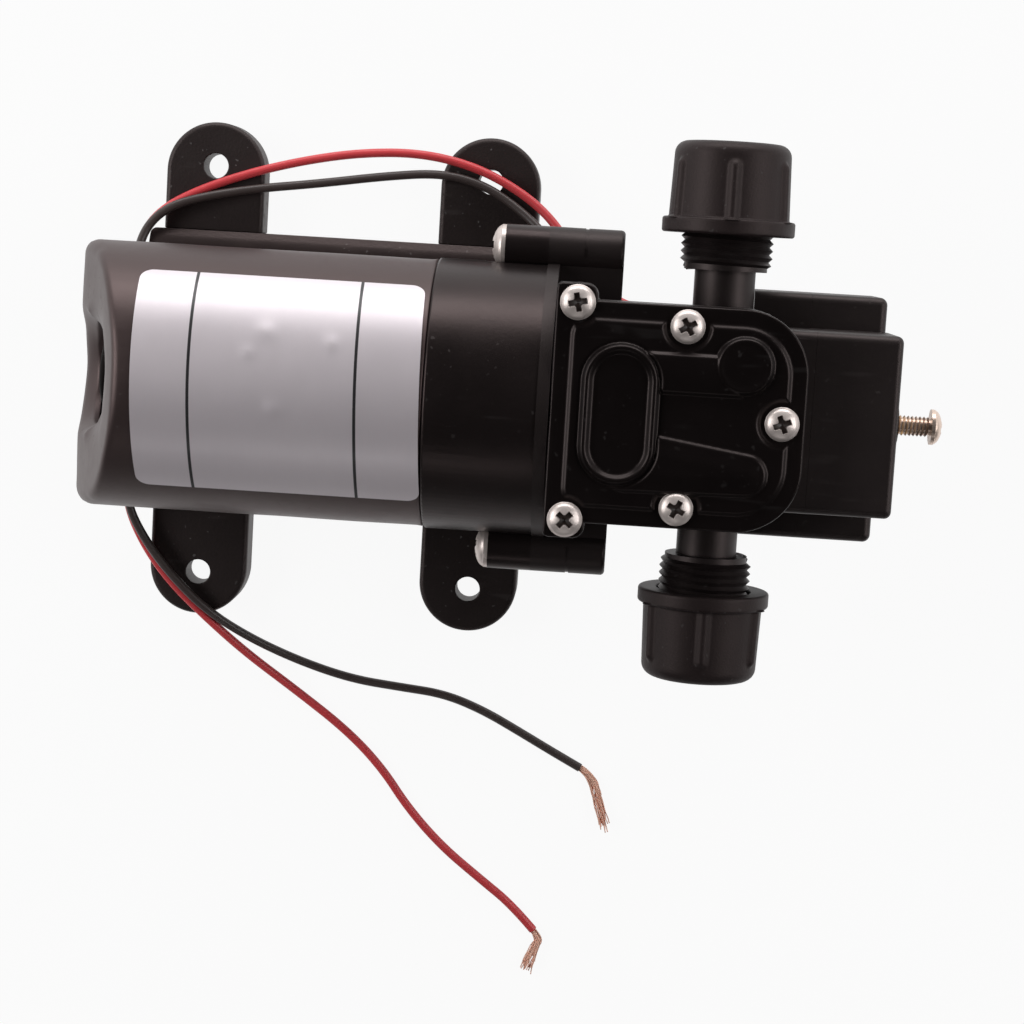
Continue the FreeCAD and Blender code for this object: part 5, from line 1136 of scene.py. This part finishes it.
def makeStrands(tree, wireName):
    s = strandSizes
    chance = random.Random(len(wireName))
    path = wireRoutes[wireName]["path"]
    root, way = path[-1], (path[-1] - path[-2]).normalized()
    ends = strandEnds[wireName]
    route = [root - way * s["tucked"], root + way * s["lead"], Vector(ends["middle"]), Vector(ends["tip"])]
    places, edges = [], []
    for strand in range(s["count"]):
        angle, spread = chance.uniform(0, 2 * math.pi), math.sqrt(chance.random())
        reach = chance.uniform(*s["longReach" if chance.random() > s["shortShare"] else "shortReach"])
        stray = Vector((chance.gauss(0, 1), chance.gauss(0, 1), chance.gauss(0, 0.5)))
        for step in range(s["points"]):
            share = step / (s["points"] - 1) * reach
            ahead = bundleLine(route, min(1, share + 0.02)) - bundleLine(route, max(0, share - 0.02))
            side = ahead.cross(Vector((0, 0, 1))).normalized()
            lift = side.cross(ahead).normalized()
            turn = angle + share * s["twist"]
            width = s["bundle"] * (1 + s["swell"] * math.sin(min(1, share * 1.3) * math.pi / 2)) * spread
            spot = bundleLine(route, share) + side * (width * math.cos(turn))
            spot += lift * (width * s["flat"] * math.sin(turn))
            wobble = noise.noise(spot * 0.5 + stray) * s["wobble"] * share
            spot += stray * (s["stray"] * share ** 3) + Vector((wobble, 0, 0))
            spot.z = max(spot.z, s["lowest"])
            places.append(spot)
            if step:
                edges.append((len(places) - 2, len(places) - 1))
    made = tree.run(pointsObject(wireName + "Strands", places, edges),
                    {"Thickness": s["radius"] * mm, "Finish": finishes["strandCopper"]})
    return settle(made, None, "pump", "copper", ends["node"])


strands = strandTree()
for wireName, cordLength in (("supplyWireBlack", 0.1198), ("supplyWireRed", 0.1320)):
    route = wireRoutes[wireName]
    ends = makeStrands(strands, wireName)
    settle(wires[wireName], None, "pump", route["slot"], route["node"])
    route["path"][0] * mm
for wireName, cordLength in (("motorWireRed", 0.1456), ("motorWireBlack", 0.1420)):
    route = wireRoutes[wireName]
    settle(wires[wireName], None, "pump", route["slot"], route["node"])
    route["path"][0] * mm
report("strands and cords")


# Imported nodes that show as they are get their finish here
plainNodes = {
    "sealRubber": ("lid_gasket", "diaphragm", "inlet_valve", "outlet_valve", "switch_diaphragm",
                   "inlet_cap_seal", "outlet_cap_seal", "wire_grommets"),
    "canSteel": ("motor_can",),
    "bronze": ("rear_bush", "front_bush"),
    "ferrite": ("field_magnets",),
    "carbon": ("brushes",),
    "bearingSteel": ("front_bearing", "cam_bearing_inner", "cam_bearing_outer", "bearing_balls"),
    "screwSteel": ("motor_screws", "clamp_screw", "grub_screw"),
    "turnedSteel": ("motor_shaft", "armature_core", "eccentric"),
    "windingCopper": ("armature_windings",),
    "commutatorCopper": ("commutator",),
    "rodPlastic": ("connecting_rod", "switch_plunger"),
    "aluminium": ("clamp_disc",),
    "brass": ("spring_seat", "threaded_insert", "microswitch_terminals"),
    "switchPlastic": ("microswitch_body",),
    "buttonPlastic": ("microswitch_button",),
}
for finish, members in plainNodes.items():
    for member in members:
        paint(frame["nodes"][member], finish)
report("packed nodes")


# Stage: a white table that keeps a soft shadow, a dark ceiling and bright sides
stageSizes = dict(half=0.7, down=-0.00005, tone=(0.86, 0.86, 0.86), lit=0.93, glowStart=-0.14, glowEnd=-0.03,
                  ceiling=0.025, ceilingFrom=0.05, ceilingTo=0.6, farHorizon=1.1, nearHorizon=0.1, sides=0.6)
softboxes = {
    "farSoftbox": dict(place=(0.03, 0.6, 0.15), size=(0.8, 0.24), power=2.4),
    "leftSoftbox": dict(place=(-0.55, 0.08, 0.42), size=(0.5, 0.3), power=2.2),
    "rightSoftbox": dict(place=(0.6, 0.08, 0.42), size=(0.5, 0.3), power=1.6),
    "nearSoftbox": dict(place=(0.03, -0.6, 0.45), size=(0.5, 0.1), power=0.2),
}
softboxAim = (0.03, 0.0, 0.03)


def makeFloor():
    s = stageSizes
    half, down = s["half"], s["down"]
    mesh = bpy.data.meshes.new("table")
    mesh.from_pydata([(-half, -half, down), (half, -half, down), (half, half, down), (-half, half, down)], [],
                     [(0, 1, 2, 3)])
    floor = shown("table", mesh)
    finish = Finish("table")
    seen, mirrored, through = (finish.node("ShaderNodeLightPath", output=f"Is {kind} Ray")
                               for kind in ("Camera", "Glossy", "Transmission"))
    matte = finish.node("ShaderNodeBsdfDiffuse", None, {"Color": s["tone"]})
    glow = finish.node("ShaderNodeEmission", None, {"Color": (1, 1, 1), "Strength": 1.0})
    # the lit table ends on the near side, as the dark reflections of the photograph show
    lit = finish.climb(finish.axis("Y"), s["glowStart"], s["glowEnd"])
    share = (seen + through + mirrored * lit).maths("MINIMUM", 1.0) * s["lit"]
    both = finish.node("ShaderNodeMixShader", None, {0: share, 1: matte, 2: glow})
    finish.node("ShaderNodeOutputMaterial", None, {"Surface": both})
    mesh.materials.append(finish.material)


def makeWorld():
    s = stageSizes
    bpy.context.scene.world = bpy.data.worlds.new("room")
    room = Finish("room", bpy.context.scene.world)
    across, up = (room.axis(name, "Generated") for name in "YZ")
    horizon = room.climb(across, -s["sides"], s["sides"], s["nearHorizon"], s["farHorizon"])
    light = room.climb(up, s["ceilingFrom"], s["ceilingTo"], horizon, s["ceiling"])
    seen = room.node("ShaderNodeLightPath", output="Is Camera Ray")
    background = room.node("ShaderNodeBackground", None, {"Strength": light.maths("MAXIMUM", seen)})
    room.node("ShaderNodeOutputWorld", None, {"Surface": background})


def makeSoftboxes():
    for name, s in softboxes.items():
        lamp = bpy.data.lights.new(name, "AREA")
        lamp.shape = "RECTANGLE"
        lamp.size, lamp.size_y = s["size"]
        lamp.energy = s["power"]
        place = Vector(s["place"])
        turn = (Vector(softboxAim) - place).to_track_quat("-Z", "Y").to_matrix().to_4x4()
        shown(name, lamp).matrix_world = Matrix.Translation(place) @ turn


makeFloor()
makeWorld()
makeSoftboxes()
bpy.context.scene.view_settings.view_transform = "Standard"
report("stage")
